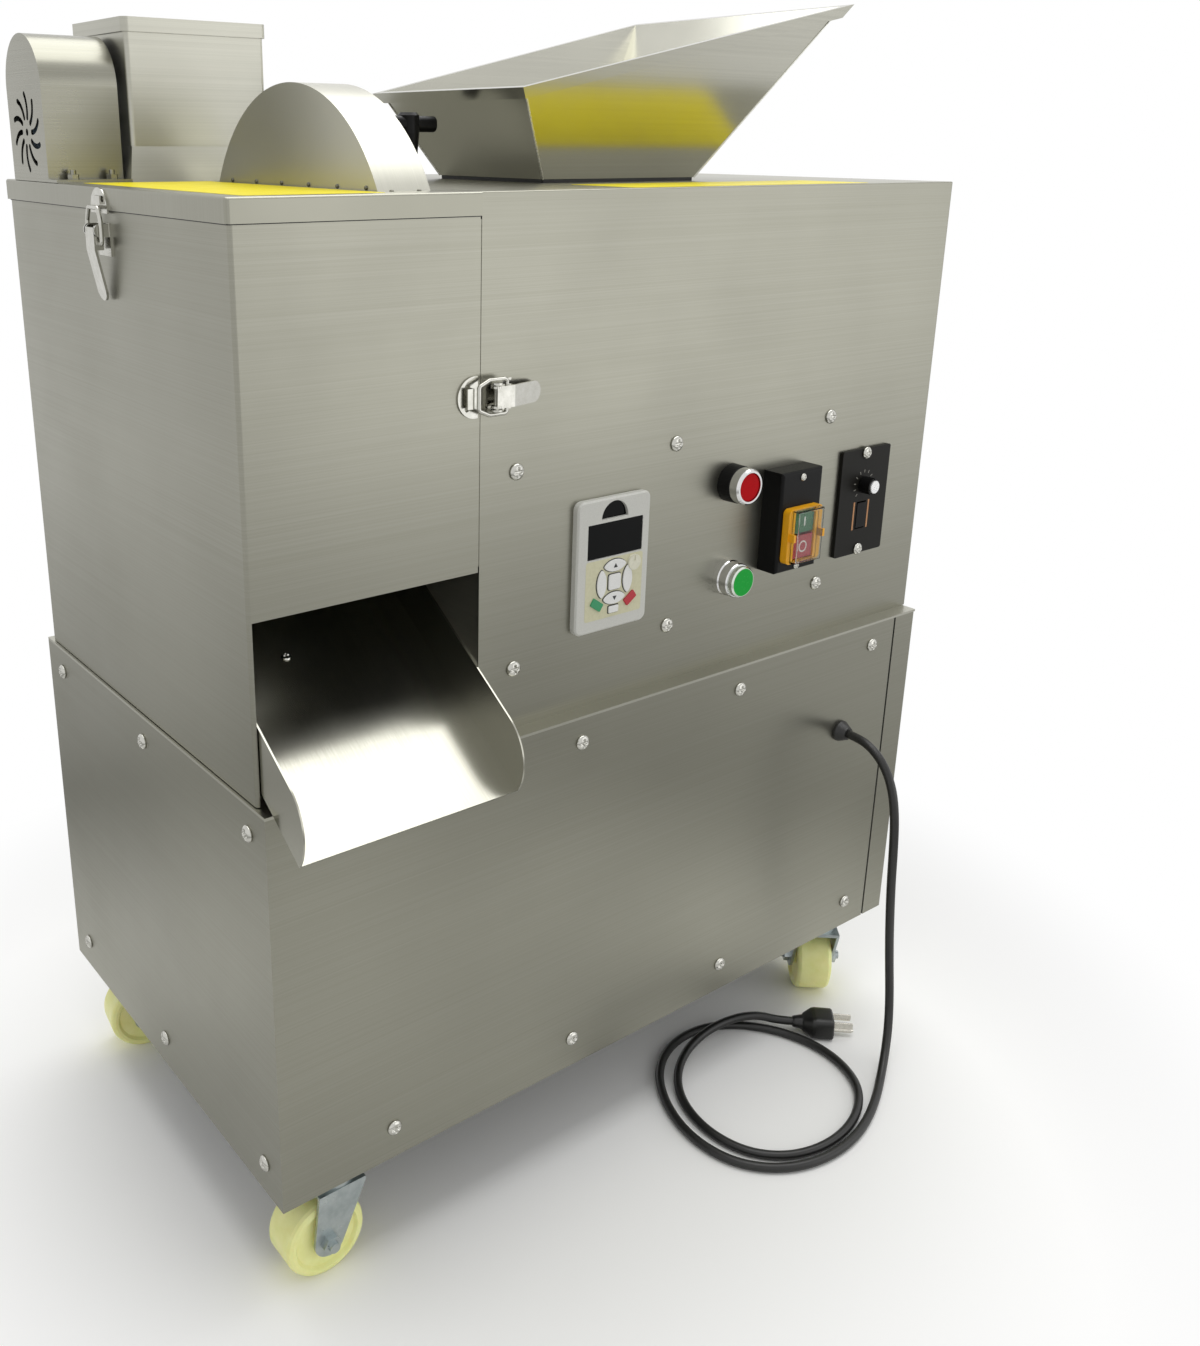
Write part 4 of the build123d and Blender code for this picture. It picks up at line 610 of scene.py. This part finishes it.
class DIVIDER_OT_keypad(bpy.types.Operator):
    """Keypad plate with its window, field, keys and dial; places are measured from its middle"""

    bl_idname = "divider.keypad"
    bl_label = "Keypad"

    def execute(self, context):
        wall = 5.4 * MM
        origin = middle_of("keypad", front_y)
        # Moulded in an etched tool: matt and pale
        shell = mottled("abs_light_grey", srgb("#d2d2cc"), srgb("#c9c9c2"), 1.2, (0.42, 0.55), 0.03)
        finish_nodes(shell, "keypad")
        dial = mottled("abs_cream", srgb("#e4e2cf"), srgb("#d8d6c2"), 1.5, (0.4, 0.5), 0.03)
        finish_nodes(dial, "keypad_dial")
        # Polished acrylic: deep black under a clear reflection
        glass = mottled("acrylic_black", srgb("#070808"), srgb("#0b0c0c"), 20, (0.06, 0.12), 0.01,
                        Specular_IOR_Level=0.1)
        pane = rounded(51.2 * MM, 25 * MM, 0.6 * MM, (1.2 * MM, 18.8 * MM))
        window = Shape()
        plate(window, pane, wall - 0.78 * MM, wall - 0.2 * MM, 0.15 * MM, origin)
        window.piece("keypad_window", "machine", glass, "black_plastic")
        # Dark plate in the floor of the finger notch: dark plastic, and painted shade of the deep
        # recess
        arc = np.linspace(0, math.pi, 25)
        radius, height = 12.3 * MM, 34 * MM
        moon = radius * np.column_stack((np.cos(arc), np.sin(arc))) + (0, height)
        notch = Shape()
        plate(notch, moon, wall - 2.48 * MM, wall - 2.2 * MM, 0.1 * MM, origin)
        notch.piece("keypad_notch_shade", "machine", glass, "black_plastic")
        self.field(origin, wall)
        self.keys(origin, wall)
        return {"FINISHED"}

    def field(self, origin, wall):
        """Printed film under the keys: rays from the dial's rim out to a rounded rectangle."""
        # Screen-printed film: flat colour with a satin face
        film = mottled("film_cream", srgb("#d6d3b4"), srgb("#cdcaa9"), 2, (0.35, 0.48), 0.02)
        dial, dial_hole, thick = np.array((19.1, -1.8)) * MM, 6.4 * MM, 0.12 * MM
        outer = rounded(54 * MM, 44.5 * MM, 2 * MM, (1.2 * MM, -17.4 * MM), steps=16)
        way = outer - dial
        inner = dial + dial_hole * way / np.linalg.norm(way, axis=1, keepdims=True)
        shape = Shape()
        band(shape, inner, outer, wall - thick, wall + thick, origin)
        shape.piece("keypad_field", "machine", film, "cream_plastic")

    def keys(self, origin, wall):
        """Key caps: four lenses round a square, a bar below them, and two turned bars."""
        # Moulded silicone: soft and matt; the ink on it is flat, without shine, and its black also
        # paints shade round the keys
        white = mottled("silicone_white", srgb("#eeeeec"), srgb("#e4e4e1"), 1, (0.45, 0.55), 0.02)
        green = mottled("silicone_green", srgb("#2f8f5b"), srgb("#37996a"), 1, (0.4, 0.5), 0.02)
        red = mottled("silicone_red", srgb("#b3202b"), srgb("#bf3340"), 1, (0.4, 0.5), 0.02)
        ink = mottled("ink_black_and_gap_shade", srgb("#141414"), srgb("#1a1a1a"), 1, (0.5, 0.6), 0.01)
        low, high, edge = wall + 0.1 * MM, wall + 1.35 * MM, 0.3 * MM
        quarter = math.pi / 2
        # Dark rims a little wider than the keys, under them: an outline round each key, partly print
        # and partly painted shade of the gap round it
        pale, rims = Shape(), Shape()
        upper, lower, left, right = (1.2, -1.1), (1.2, -25.5), (-11.1, -13.3), (13.5, -13.3)
        for shape, grow, top in ((pale, 0, high), (rims, 1.1 * MM, low + 0.45 * MM)):
            for centre, turn in ((upper, 0), (lower, 0), (left, quarter), (right, quarter)):
                outline = lens(20.6 * MM + grow, 9 * MM + grow, np.array(centre) * MM, turn)
                plate(shape, outline, low, top, edge, origin)
            for wide, tall, corner, centre in (
                    (11.6, 11.6, 2, (1.2, -13.3)), (9.4, 5.2, 1, (1, -33.9))):
                size = (wide * MM + grow, tall * MM + grow)
                outline = rounded(*size, corner * MM, np.array(centre) * MM)
                plate(shape, outline, low, top, edge, origin)
        pale.piece("keypad_keys", "machine", white, "grey_plastic")
        rims.piece("keypad_key_rims_and_gap_shade", "machine", ink, "black_plastic")
        for name, finish, slot, centre, degrees in (
                ("keypad_run_key", green, "green_plastic", (-15.1, -28.0), -35),
                ("keypad_stop_key", red, "red_plastic", (16.8, -28.6), 35)):
            key = Shape()
            outline = rounded(11 * MM, 6.2 * MM, 0.8 * MM, np.array(centre) * MM, math.radians(degrees))
            plate(key, outline, low, high, edge, origin)
            key.piece(name, "machine", finish, slot)
        marks = Shape()
        for centre, way in ((upper, 1), (lower, -1)):
            arrow = np.array(((-1.9, -1.5), (1.9, -1.5), (0.0, 1.7))) * MM
            arrow = arrow * (1, way) + np.array(centre) * MM
            plate(marks, arrow[::way], high - print_sunk, high + 0.08 * MM, 0.02 * MM, origin)
        marks.piece("keypad_arrows", "machine", ink, "black_plastic")


class DIVIDER_OT_buttons(bpy.types.Operator):
    """Red and green push-buttons"""

    bl_idname = "divider.buttons"
    bl_label = "Push-buttons"

    def execute(self, context):
        colours = context.scene.divider_controls
        # Chrome plate: near a mirror
        chrome = mottled("chrome_plate", srgb("#dedede"), srgb("#d2d2d2"), 5, (0.08, 0.15), 0.01,
                         Metallic=1.0)
        finish_nodes(chrome, "button_bezels")
        # Moulded cap: a full red that a highlight hardly pales
        cap = mottled("polycarbonate_red", tuple(colours.stop), srgb("#b40a13"), 2, (0.3, 0.4),
                      0.02, Specular_IOR_Level=0.06)
        finish_nodes(cap, "red_button")
        finish_nodes(self.rimmed(tuple(colours.start)), "green_button")
        # Black and satin: a collar, and a painted reflection of the dark housing in the red button's
        # chrome base
        black = mottled("polyamide_black_reflection", srgb("#101010"), srgb("#161616"), 1, (0.35, 0.5), 0.03,
                        Specular_IOR_Level=0.12)
        # Black collar behind the chrome ring: it also paints the dark housing mirrored in that ring's
        # base
        profile = np.array(((0.0, 13.8), (0.0, 14.6), (10.6, 14.3), (11.4, 14.0), (11.4, 13.8))) * MM
        collar = Shape()
        turned(collar, profile, middle_of("red_button", front_y), -AWAY, closed=True)
        collar.piece("red_button_collar_reflection", "machine", black, "black_plastic")
        return {"FINISHED"}

    def rimmed(self, colour):
        """Moulded cap, green, in a plated sleeve that shows round its side."""
        cap_radius, sleeve_radius, grain = 10.6 * MM, 11.1 * MM, 2 * MM
        centre = middle_of("green_button", 0)
        made, tree, shader = surface("polycarbonate_green", {"Specular IOR Level": 0.1})
        spot = add(tree, "ShaderNodeTexCoord").outputs["Object"]
        from_centre = add(tree, "ShaderNodeMapping",
                          {"Location": tuple(-centre), "Scale": (1, 0, 1)}, {"Vector": spot})
        radius = add(tree, "ShaderNodeVectorMath", operation="LENGTH",
                     links={0: from_centre.outputs["Vector"]})
        rim = add(tree, "ShaderNodeMapRange", {"From Min": cap_radius, "From Max": sleeve_radius},
                  {"Value": radius.outputs["Value"]})
        shade = add(tree, "ShaderNodeMixRGB", {"Color1": colour, "Color2": srgb("#d8ded6")},
                    {"Fac": rim.outputs["Result"]})
        drift = add(tree, "ShaderNodeTexNoise", {"Scale": 1 / grain, "Detail": 2.0}, {"Vector": spot})
        sheen = add(tree, "ShaderNodeMapRange", {"To Min": 0.2, "To Max": 0.32},
                    {"Value": drift.outputs["Fac"]})
        tree.links.new(shade.outputs["Color"], shader.inputs["Base Color"])
        tree.links.new(rim.outputs["Result"], shader.inputs["Metallic"])
        tree.links.new(sheen.outputs["Result"], shader.inputs["Roughness"])
        return made


class DIVIDER_OT_switch(bpy.types.Operator):
    """Switch box with its yellow frame, two buttons and clear cover"""

    bl_idname = "divider.switch"
    bl_label = "Switch"

    def execute(self, context):
        colours = context.scene.divider_controls
        # Moulded in a textured tool: black without shine; frame and buttons come from smooth tools
        black = mottled("abs_black", srgb("#0e0e0e"), srgb("#141414"), 0.9, (0.34, 0.48), 0.04,
                        Specular_IOR_Level=0.12)
        finish_nodes(black, "switch_housing")
        yellow = mottled("abs_yellow", tuple(colours.guard), srgb("#efa70c"), 1.5, (0.3, 0.42), 0.02)
        finish_nodes(yellow, "switch_frame")
        green = mottled("abs_switch_green", srgb("#1d5f38"), srgb("#236a40"), 1.5, (0.3, 0.4), 0.02)
        finish_nodes(green, "switch_on")
        red = mottled("abs_switch_red", srgb("#b02a36"), srgb("#a4232f"), 1.5, (0.3, 0.4), 0.02)
        finish_nodes(red, "switch_off")
        # Soft PVC: clear, with a highlight that wobbles
        clear = mottled("pvc_clear", srgb("#f4f6f4"), srgb("#eef1ee"), 6, (0.05, 0.14), 0.05,
                        Transmission_Weight=1.0, IOR=1.3)
        finish_nodes(clear, "switch_cover")
        # Ink: flat, without shine
        pale = mottled("print_white", srgb("#e9e6e4"), srgb("#dedbd8"), 1, (0.4, 0.5), 0.01)
        raised = 0.15 * MM
        line, ring = Shape(), Shape()
        stroke = rounded(1.3 * MM, 7.4 * MM, 0.4 * MM)
        plate(line, stroke, -print_sunk, raised, 0.05 * MM, middle_of("switch_on"))
        line.piece("switch_line_mark", "switch_on", pale, "cream_plastic")
        profile = (
            (-print_sunk, 3.5 * MM), (-print_sunk, 4.7 * MM), (raised, 4.6 * MM), (raised, 3.6 * MM))
        turned(ring, profile, middle_of("switch_off"), -AWAY, closed=True)
        ring.piece("switch_ring_mark", "switch_off", pale, "cream_plastic")
        return {"FINISHED"}


class DIVIDER_OT_speed(bpy.types.Operator):
    """Speed plate with its marks, knob and rocker"""

    bl_idname = "divider.speed"
    bl_label = "Speed plate"

    def execute(self, context):
        # Anodised alloy: a warm black, even and matt
        black = mottled("anodised_black", srgb("#171613"), srgb("#1d1c19"), 1.2, (0.38, 0.5), 0.03,
                        Specular_IOR_Level=0.12)
        finish_nodes(black, "speed_plate")
        # Moulded ABS: black and satin
        knob = mottled("abs_knob_black", srgb("#0d0d0d"), srgb("#131313"), 0.8, (0.32, 0.45), 0.03,
                       Specular_IOR_Level=0.12)
        finish_nodes(knob, "speed_knob", "speed_rocker")
        # Ink: flat, without shine
        grey = mottled("print_grey", srgb("#8c8a82"), srgb("#7f7d76"), 1, (0.45, 0.55), 0.01)
        tan = mottled("print_tan", srgb("#c08a5c"), srgb("#b58152"), 1, (0.45, 0.55), 0.01)
        # Spun alloy: silvery white
        white = mottled("alloy_spun", srgb("#f2f2f2"), srgb("#e4e4e4"), 1, (0.22, 0.34), 0.01,
                        Metallic=0.6)
        raised, edge = 0.1 * MM, 0.02 * MM
        sweep, mark_radius, bar_offset, end_sunk = 135, 11.4 * MM, 9.2 * MM, 1.15 * MM
        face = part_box("speed_plate")[0].y
        knob_spot, rocker_spot = middle_of("speed_knob", face), middle_of("speed_rocker", face)
        marks = Shape()
        for angle in np.linspace(-sweep, sweep, context.scene.divider_controls.ticks):
            turn = math.radians(angle)
            centre = mark_radius * np.array((math.sin(turn), math.cos(turn)))
            mark = rounded(0.8 * MM, 2.6 * MM, 0.2 * MM, centre, -turn)
            plate(marks, mark, -print_sunk, raised, edge, knob_spot)
        marks.piece("speed_marks", "machine", grey, "grey_plastic")
        bars = Shape()
        for side in (-1, 1):
            bar = rounded(1.8 * MM, 24 * MM, 0.3 * MM, (side * bar_offset, 0))
            plate(bars, bar, -print_sunk, raised, edge, rocker_spot)
        bars.piece("speed_bars", "machine", tan, "cream_plastic")
        profile = np.array(((-0.2, 5.35), (1.0, 5.35), (1.35, 5.0), (1.35, 0.01))) * MM
        end = Shape()
        turned(end, profile, middle_of("speed_knob") + end_sunk * AWAY, -AWAY)
        end.piece("speed_knob_end", "speed_knob", white, "bezel_chrome")
        return {"FINISHED"}


class DIVIDER_OT_plates(bpy.types.Operator):
    """Blank film plates on the lid and on the deck"""

    bl_idname = "divider.plates"
    bl_label = "Blank plates"

    def execute(self, context):
        # Cast vinyl: strong yellow with a satin face
        film = mottled("vinyl_yellow", srgb("#ebdc0c"), srgb("#dfce08"), 12, (0.32, 0.46), 0.05,
                       Specular_IOR_Level=0.2)
        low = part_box("lid")[0]
        left, right = low.x + 15 * MM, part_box("knife_guard")[0].x - 4 * MM
        near, far = low.y + 10 * MM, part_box("flour_motor_cover")[0].y - 8 * MM
        self.film("lid_blank_plate", "lid", film, (left, right), (near, far))
        wide, deep = 245 * MM, 68 * MM
        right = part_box("hopper")[1].x - 20 * MM
        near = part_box("top_deck")[0].y + 7 * MM
        self.film("deck_blank_plate", "machine", film, (right - wide, right), (near, near + deep))
        return {"FINISHED"}

    def film(self, name, body, finish, xs, ys):
        """Rectangle of film on the top, with round corners."""
        corner, thick, edge = 3 * MM, 0.2 * MM, 0.05 * MM
        outline = rounded(xs[1] - xs[0], ys[1] - ys[0], corner, (sum(xs) / 2, sum(ys) / 2))
        blank = Shape()
        plate(blank, outline, deck_z, deck_z + thick, edge, (0, 0, 0), RIGHT, AWAY)
        blank.piece(name, body, finish, "yellow_plastic")


# Route of the cord in millimetres: down from the gland, then two loops on the floor to the plug
cord_route = (
    (231.0, -178.76, 297.6), (231.0, -190.76, 297.6), (230.7, -202.86, 294.4), (230.0, -214.36, 287.4),
    (228.8, -224.26, 276.8), (227.4, -231.96, 261.7), (226.4, -236.66, 241.2), (226.8, -238.46, 215.3),
    (229.4, -238.26, 185.0), (234.4, -237.26, 153.0), (240.8, -235.96, 119.5), (247.0, -235.36, 87.5),
    (249.8, -237.16, 58.5), (245.0, -242.76, 32.5), (232.0, -251.06, 14.5), (214.0, -261.26, 5.4),
    (191.0, -274.26, 4.0), (163.5, -286.76, 4.0), (134.0, -294.76, 4.0), (104.0, -295.76, 4.0),
    (75.5, -289.26, 4.0), (51.5, -274.76, 4.0), (34.5, -252.76, 4.0), (28.0, -224.76, 4.0),
    (31.0, -195.26, 4.0), (42.5, -166.76, 4.0), (61.0, -141.76, 4.0), (88.0, -124.26, 4.0),
    (120.0, -118.76, 4.0), (150.0, -125.76, 4.0), (174.5, -143.76, 4.0), (192.5, -168.76, 4.0),
    (202.5, -197.76, 4.0), (202.0, -228.76, 4.0), (189.5, -256.76, 4.0), (166.0, -275.26, 4.0),
    (136.5, -285.26, 4.0), (105.5, -285.76, 4.0), (76.5, -276.76, 4.0), (54.5, -257.26, 4.0),
    (44.5, -229.76, 4.0), (45.5, -200.26, 4.0), (55.5, -172.76, 4.4), (74.5, -151.26, 6.5),
    (101.0, -138.76, 10.5), (129.0, -135.76, 14.5), (156.0, -139.76, 17.0), (179.0, -148.76, 16.5),
    (194.0, -159.86, 11.0), (204.5, -169.76, 11.0),
)


class DIVIDER_OT_cord(bpy.types.Operator):
    """Mains lead on the floor, its gland and its plug"""

    bl_idname = "divider.cord"
    bl_label = "Cord and plug"

    def execute(self, context):
        cord = context.scene.divider_cord
        # Extruded PVC: black, with a soft line of light along it
        rubber = mottled("pvc_black", srgb("#151514"), srgb("#1f1f1d"), 2, (0.3, 0.45), 0.03)
        finish_nodes(rubber, "cord_gland")
        route = np.array(cord_route) * MM
        curve = bpy.data.curves.new("mains_cord", "CURVE")
        curve.dimensions = "3D"
        spline = curve.splines.new("NURBS")
        spline.points.add(len(route) - 1)
        spline.points.foreach_set("co", np.column_stack((route, np.ones(len(route)))).ravel())
        spline.order_u = 3
        spline.use_endpoint_u = True
        spline.resolution_u = 10
        curve.bevel_depth = cord.diameter / 2
        curve.bevel_resolution = 5
        curve.use_fill_caps = True
        curve.materials.append(rubber)
        lead = bpy.data.objects.new("mains_cord", curve)
        context.scene.collection.objects.link(lead)
        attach(lead, "machine")
        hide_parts("power_cord")
        body, pins = self.plug(route, rubber)
        return {"FINISHED"}

    def plug(self, route, rubber):
        """Moulded plug: sections that swell and square up from the cord to the face, and three pins.

        Each section is an ellipse whose cosine and sine are raised to a power: 1 leaves it round, and
        less than 1 draws it out to its corners.
        """
        way = route[-1] - route[-2]
        way[2] = 0
        way /= np.linalg.norm(way)
        side = np.cross(UP, way)
        along = np.array((0, 1.5, 8.5, 9.5, 13, 17, 20, 34.6, 36))[:, None] * MM
        half_width = np.array((4.6, 5.2, 6.6, 7.2, 9.4, 12.0, 12.5, 12.5, 11.6))[:, None] * MM
        half_height = np.array((4.6, 5.2, 6.6, 7.2, 8.6, 10.0, 10.5, 10.5, 9.6))[:, None] * MM
        angle = np.linspace(0, 2 * math.pi, 48, endpoint=False)[None, :]
        square = np.array((1, 1, 1, 0.6, 0.5, 0.42, 0.4, 0.4, 0.4))[:, None]
        across = half_width * np.sign(np.cos(angle)) * np.abs(np.cos(angle)) ** square
        height = half_height * np.sign(np.sin(angle)) * np.abs(np.sin(angle)) ** square
        points = route[-1] + along[..., None] * way + across[..., None] * side + height[..., None] * UP
        rings, count = across.shape
        faces = quads(rings, count).tolist()
        faces += [tuple(range(count))[::-1], tuple(range((rings - 1) * count, rings * count))]
        mould = Shape()
        mould.take(points, faces)
        body = mould.piece("plug_body", "machine", rubber, "cord_rubber")
        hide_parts("plug")
        # Nickel plate: bright and slightly warm
        nickel = mottled("nickel_plate", srgb("#d9d6cd"), srgb("#c8c5bb"), 2, (0.16, 0.28), 0.01,
                         Metallic=1.0)
        pin_root, blade_long = 35.5 * MM, 17.5 * MM
        apart, blade_up, earth_down = 6.35 * MM, 3.7 * MM, 5.2 * MM
        face = route[-1] + pin_root * way
        blade = rounded(1.5 * MM, 6.35 * MM, 0.4 * MM)
        pins = Shape()
        for offset in (-apart, apart):
            plate(pins, blade, 0, blade_long, 0.4 * MM, face + offset * side + blade_up * UP, side, UP)
        earth = np.array(((0, 2.4), (17.6, 2.4), (19.6, 1.4), (20.0, 0.05))) * MM
        turned(pins, earth, face - earth_down * UP, way, steps=24)
        return body, pins.piece("plug_pins", "machine", nickel, "bezel_chrome")


class DIVIDER_OT_casters(bpy.types.Operator):
    """Zinc forks and plates, nylon wheels"""

    bl_idname = "divider.casters"
    bl_label = "Casters"

    def execute(self, context):
        # Zinc plate: bluish, with cloudy grains
        zinc = mottled("zinc_plate", srgb("#b9c0c0"), srgb("#a2aaab"), 9, (0.26, 0.4), 0.03,
                       Metallic=1.0)
        # Moulded nylon: pale yellow, and light sinks in a little
        nylon = mottled("nylon_cream", srgb("#fdfbb2"), srgb("#f4f29e"), 10, (0.3, 0.45), 0.05,
                        Subsurface_Weight=0.15)
        places = [f"{depth}_{side}" for depth in ("front", "back") for side in ("left", "right")]
        finish_nodes(zinc, "caster_plates", *[f"{place}_fork" for place in places])
        finish_nodes(nylon, *[f"{place}_wheel" for place in places])
        return {"FINISHED"}


def seen(tree):
    """Socket that is 1 for rays from the camera, from gloss and through glass, and 0 for the rest."""
    path = add(tree, "ShaderNodeLightPath")
    mirror = add(tree, "ShaderNodeMath", operation="MAXIMUM",
                 links={0: path.outputs["Is Glossy Ray"], 1: path.outputs["Is Transmission Ray"]})
    either = add(tree, "ShaderNodeMath", operation="MAXIMUM",
                 links={0: mirror.outputs["Value"], 1: path.outputs["Is Camera Ray"]})
    return either.outputs["Value"]


# Floor: middle of its pale pool, a pool of light painted into the floor's colour; from there, where it
# fades to dim and where gloss sees it fade to white; from the origin, where the eye sees it fade to
# white
pool_middle = (-0.15, -0.1, 0)
pool_edge = (0.5, 0.85)
gloss_white = (0.87, 2.5)
eye_white = (0.28, 0.7)

# Soft lights: width and depth, place, and the point that each is turned to
overhead = ((2.6, 2.4), (0.5, 0.3, 2.5), (0.5, 0.25, 0))
front_card = ((1.8, 1.4), (1.15, -1.75, 0.8), (0, 0, 0.5))

# Camera: place, then bearing, height angle and roll; focal length and middle of a picture in its points
camera_place = (-0.64388, -0.80996, 0.78173)
camera_turn = (-36.626, 18.073, 0.392)
picture_size = (1200, 1346)
picture_focal = 1309.97
picture_middle = (471.43, 567.55)


class DIVIDER_OT_stage(bpy.types.Operator):
    """Pale floor, soft light and the camera"""

    bl_idname = "divider.stage"
    bl_label = "Stage"

    def execute(self, context):
        stage = context.scene.divider_stage
        self.floor(stage)
        self.world(context, stage)
        self.lamp("overhead", stage.key, *overhead)
        self.lamp("front_card", stage.card, *front_card)
        self.camera(context)
        context.scene.view_settings.view_transform = "Standard"
        return {"FINISHED"}

    def floor(self, stage):
        """Square floor under the wheels: pale, then dimmer, a pool of light painted into its colour;
        white to the eye sooner than to gloss.
        """
        half = 6.0
        corners = np.array(((-half, -half, 0), (half, -half, 0), (half, half, 0), (-half, half, 0)))
        mesh = bpy.data.meshes.new("floor")
        mesh.from_pydata((corners + floor_z * UP).tolist(), [], [(0, 1, 2, 3)])
        # Matt floor paint: it takes the shadow and gives no highlight
        paint, tree, shader = surface("floor_paint", {"Roughness": 0.9})
        spot = add(tree, "ShaderNodeTexCoord").outputs["Object"]
        away = add(tree, "ShaderNodeVectorMath", links={0: spot}, operation="LENGTH").outputs["Value"]
        pool = add(tree, "ShaderNodeVectorMath", {1: pool_middle}, {0: spot},
                   operation="DISTANCE").outputs["Value"]
        # Painted light: the floor's colour fades from pale to the dim surround away from the pool's
        # middle
        dim = add(tree, "ShaderNodeMapRange", {"From Min": pool_edge[0], "From Max": pool_edge[1]},
                  {"Value": pool})
        tone = add(tree, "ShaderNodeMixRGB",
                   {"Color1": tuple(stage.floor), "Color2": tuple(stage.surround)},
                   {"Fac": dim.outputs["Result"]})
        tree.links.new(tone.outputs["Color"], shader.inputs["Base Color"])
        rise = add(tree, "ShaderNodeMapRange", {"From Min": gloss_white[0], "From Max": gloss_white[1]},
                   {"Value": pool})
        far = add(tree, "ShaderNodeMath", {1: 0.5}, {0: rise.outputs["Result"]}, operation="POWER")
        near = add(tree, "ShaderNodeMapRange", {"From Min": eye_white[0], "From Max": eye_white[1]},
                   {"Value": away}, interpolation_type="SMOOTHSTEP")
        white = add(tree, "ShaderNodeEmission", {"Color": (1, 1, 1, 1), "Strength": 1.0})
        path = add(tree, "ShaderNodeLightPath")
        eye = add(tree, "ShaderNodeMath", operation="MULTIPLY",
                  links={0: near.outputs["Result"], 1: path.outputs["Is Camera Ray"]})
        gloss = add(tree, "ShaderNodeMath", operation="MULTIPLY",
                    links={0: far.outputs["Value"], 1: seen(tree)})
        share = add(tree, "ShaderNodeMath", operation="MAXIMUM",
                    links={0: eye.outputs["Value"], 1: gloss.outputs["Value"]})
        both = add(tree, "ShaderNodeMixShader", links={
            0: share.outputs["Value"], 1: shader.outputs["BSDF"], 2: white.outputs["Emission"]})
        out = next(n for n in tree.nodes if n.type == "OUTPUT_MATERIAL")
        tree.links.new(both.outputs["Shader"], out.inputs["Surface"])
        mesh.materials.append(paint)
        ground = bpy.data.objects.new("floor", mesh)
        bpy.context.scene.collection.objects.link(ground)

    def world(self, context, stage):
        """Even fill light; the eye and mirror surfaces see white."""
        world = bpy.data.worlds.new("studio")
        world.use_nodes = True
        tree = world.node_tree
        tree.nodes.clear()
        light = add(tree, "ShaderNodeBackground", {"Color": (1, 1, 1, 1), "Strength": stage.fill})
        white = add(tree, "ShaderNodeBackground", {"Color": (1, 1, 1, 1), "Strength": 1.0})
        both = add(tree, "ShaderNodeMixShader", links={
            0: seen(tree), 1: light.outputs["Background"], 2: white.outputs["Background"]})
        add(tree, "ShaderNodeOutputWorld", links={"Surface": both.outputs["Shader"]})
        context.scene.world = world

    def lamp(self, name, power, size, place, aim):
        """Rectangular soft light at a place, turned to a point."""
        lamp = bpy.data.lights.new(name, "AREA")
        lamp.shape = "RECTANGLE"
        lamp.size, lamp.size_y = size
        lamp.energy = power
        made = bpy.data.objects.new(name, lamp)
        back = np.array(place) - np.array(aim)
        made.matrix_world = self.facing(back, place, 0.0)
        bpy.context.scene.collection.objects.link(made)

    def facing(self, back, place, roll):
        """Matrix of an object that looks against back, level but for its roll."""
        back = np.asarray(back, float) / np.linalg.norm(back)
        level = np.cross(UP, back)
        level /= np.linalg.norm(level)
        above = np.cross(back, level)
        right = math.cos(roll) * level + math.sin(roll) * above
        up = np.cross(back, right)
        made = np.eye(4)
        made[:3, 0], made[:3, 1], made[:3, 2], made[:3, 3] = right, up, back, place
        return Matrix(made.tolist())

    def camera(self, context):
        """Camera at the viewing angle, with the picture shifted on the sensor."""
        bearing, height, roll = (math.radians(a) for a in camera_turn)
        level = math.cos(height)
        back = (math.sin(bearing) * level, -math.cos(bearing) * level, math.sin(height))
        width, tall = picture_size
        eye = bpy.data.cameras.new("camera")
        eye.sensor_fit = "HORIZONTAL"
        eye.sensor_width = 36.0
        eye.lens = picture_focal / width * eye.sensor_width
        eye.shift_x = (width / 2 - picture_middle[0]) / width
        eye.shift_y = (picture_middle[1] - tall / 2) / width
        eye.clip_start = 0.01
        made = bpy.data.objects.new("camera", eye)
        made.matrix_world = self.facing(back, camera_place, roll)
        context.scene.collection.objects.link(made)
        context.scene.camera = made


class DIVIDER_PT_build(bpy.types.Panel):
    """Sizes and colours, and the steps in order"""

    bl_idname = "DIVIDER_PT_build"
    bl_label = "Dough divider"
    bl_space_type = "VIEW_3D"
    bl_region_type = "UI"
    bl_category = "Divider"

    def draw(self, context):
        for group, _ in settings:
            held = getattr(context.scene, group)
            for key in held.__annotations__:
                self.layout.prop(held, key)
        for step in steps:
            self.layout.operator(step.bl_idname)


settings = (
    ("divider_sheet", SheetSettings),
    ("divider_controls", ControlSettings),
    ("divider_cord", CordSettings),
    ("divider_stage", StageSettings),
)
steps = (
    DIVIDER_OT_sheet,
    DIVIDER_OT_fasteners,
    DIVIDER_OT_drive,
    DIVIDER_OT_keypad,
    DIVIDER_OT_buttons,
    DIVIDER_OT_switch,
    DIVIDER_OT_speed,
    DIVIDER_OT_plates,
    DIVIDER_OT_cord,
    DIVIDER_OT_casters,
    DIVIDER_OT_stage,
)


def register():
    """Register the classes and hang the settings on the scene."""
    for group, kind in settings:
        bpy.utils.register_class(kind)
        setattr(bpy.types.Scene, group, PointerProperty(type=kind))
    for kind in (*steps, DIVIDER_PT_build):
        bpy.utils.register_class(kind)


def unregister():
    """Undo register."""
    for kind in (DIVIDER_PT_build, *reversed(steps)):
        bpy.utils.unregister_class(kind)
    for group, kind in reversed(settings):
        delattr(bpy.types.Scene, group)
        bpy.utils.unregister_class(kind)


def main():
    """Run the steps in order."""
    register()
    for step in steps:
        group, name = step.bl_idname.split(".")
        getattr(getattr(bpy.ops, group), name)()


if __name__ == "__main__":
    main()
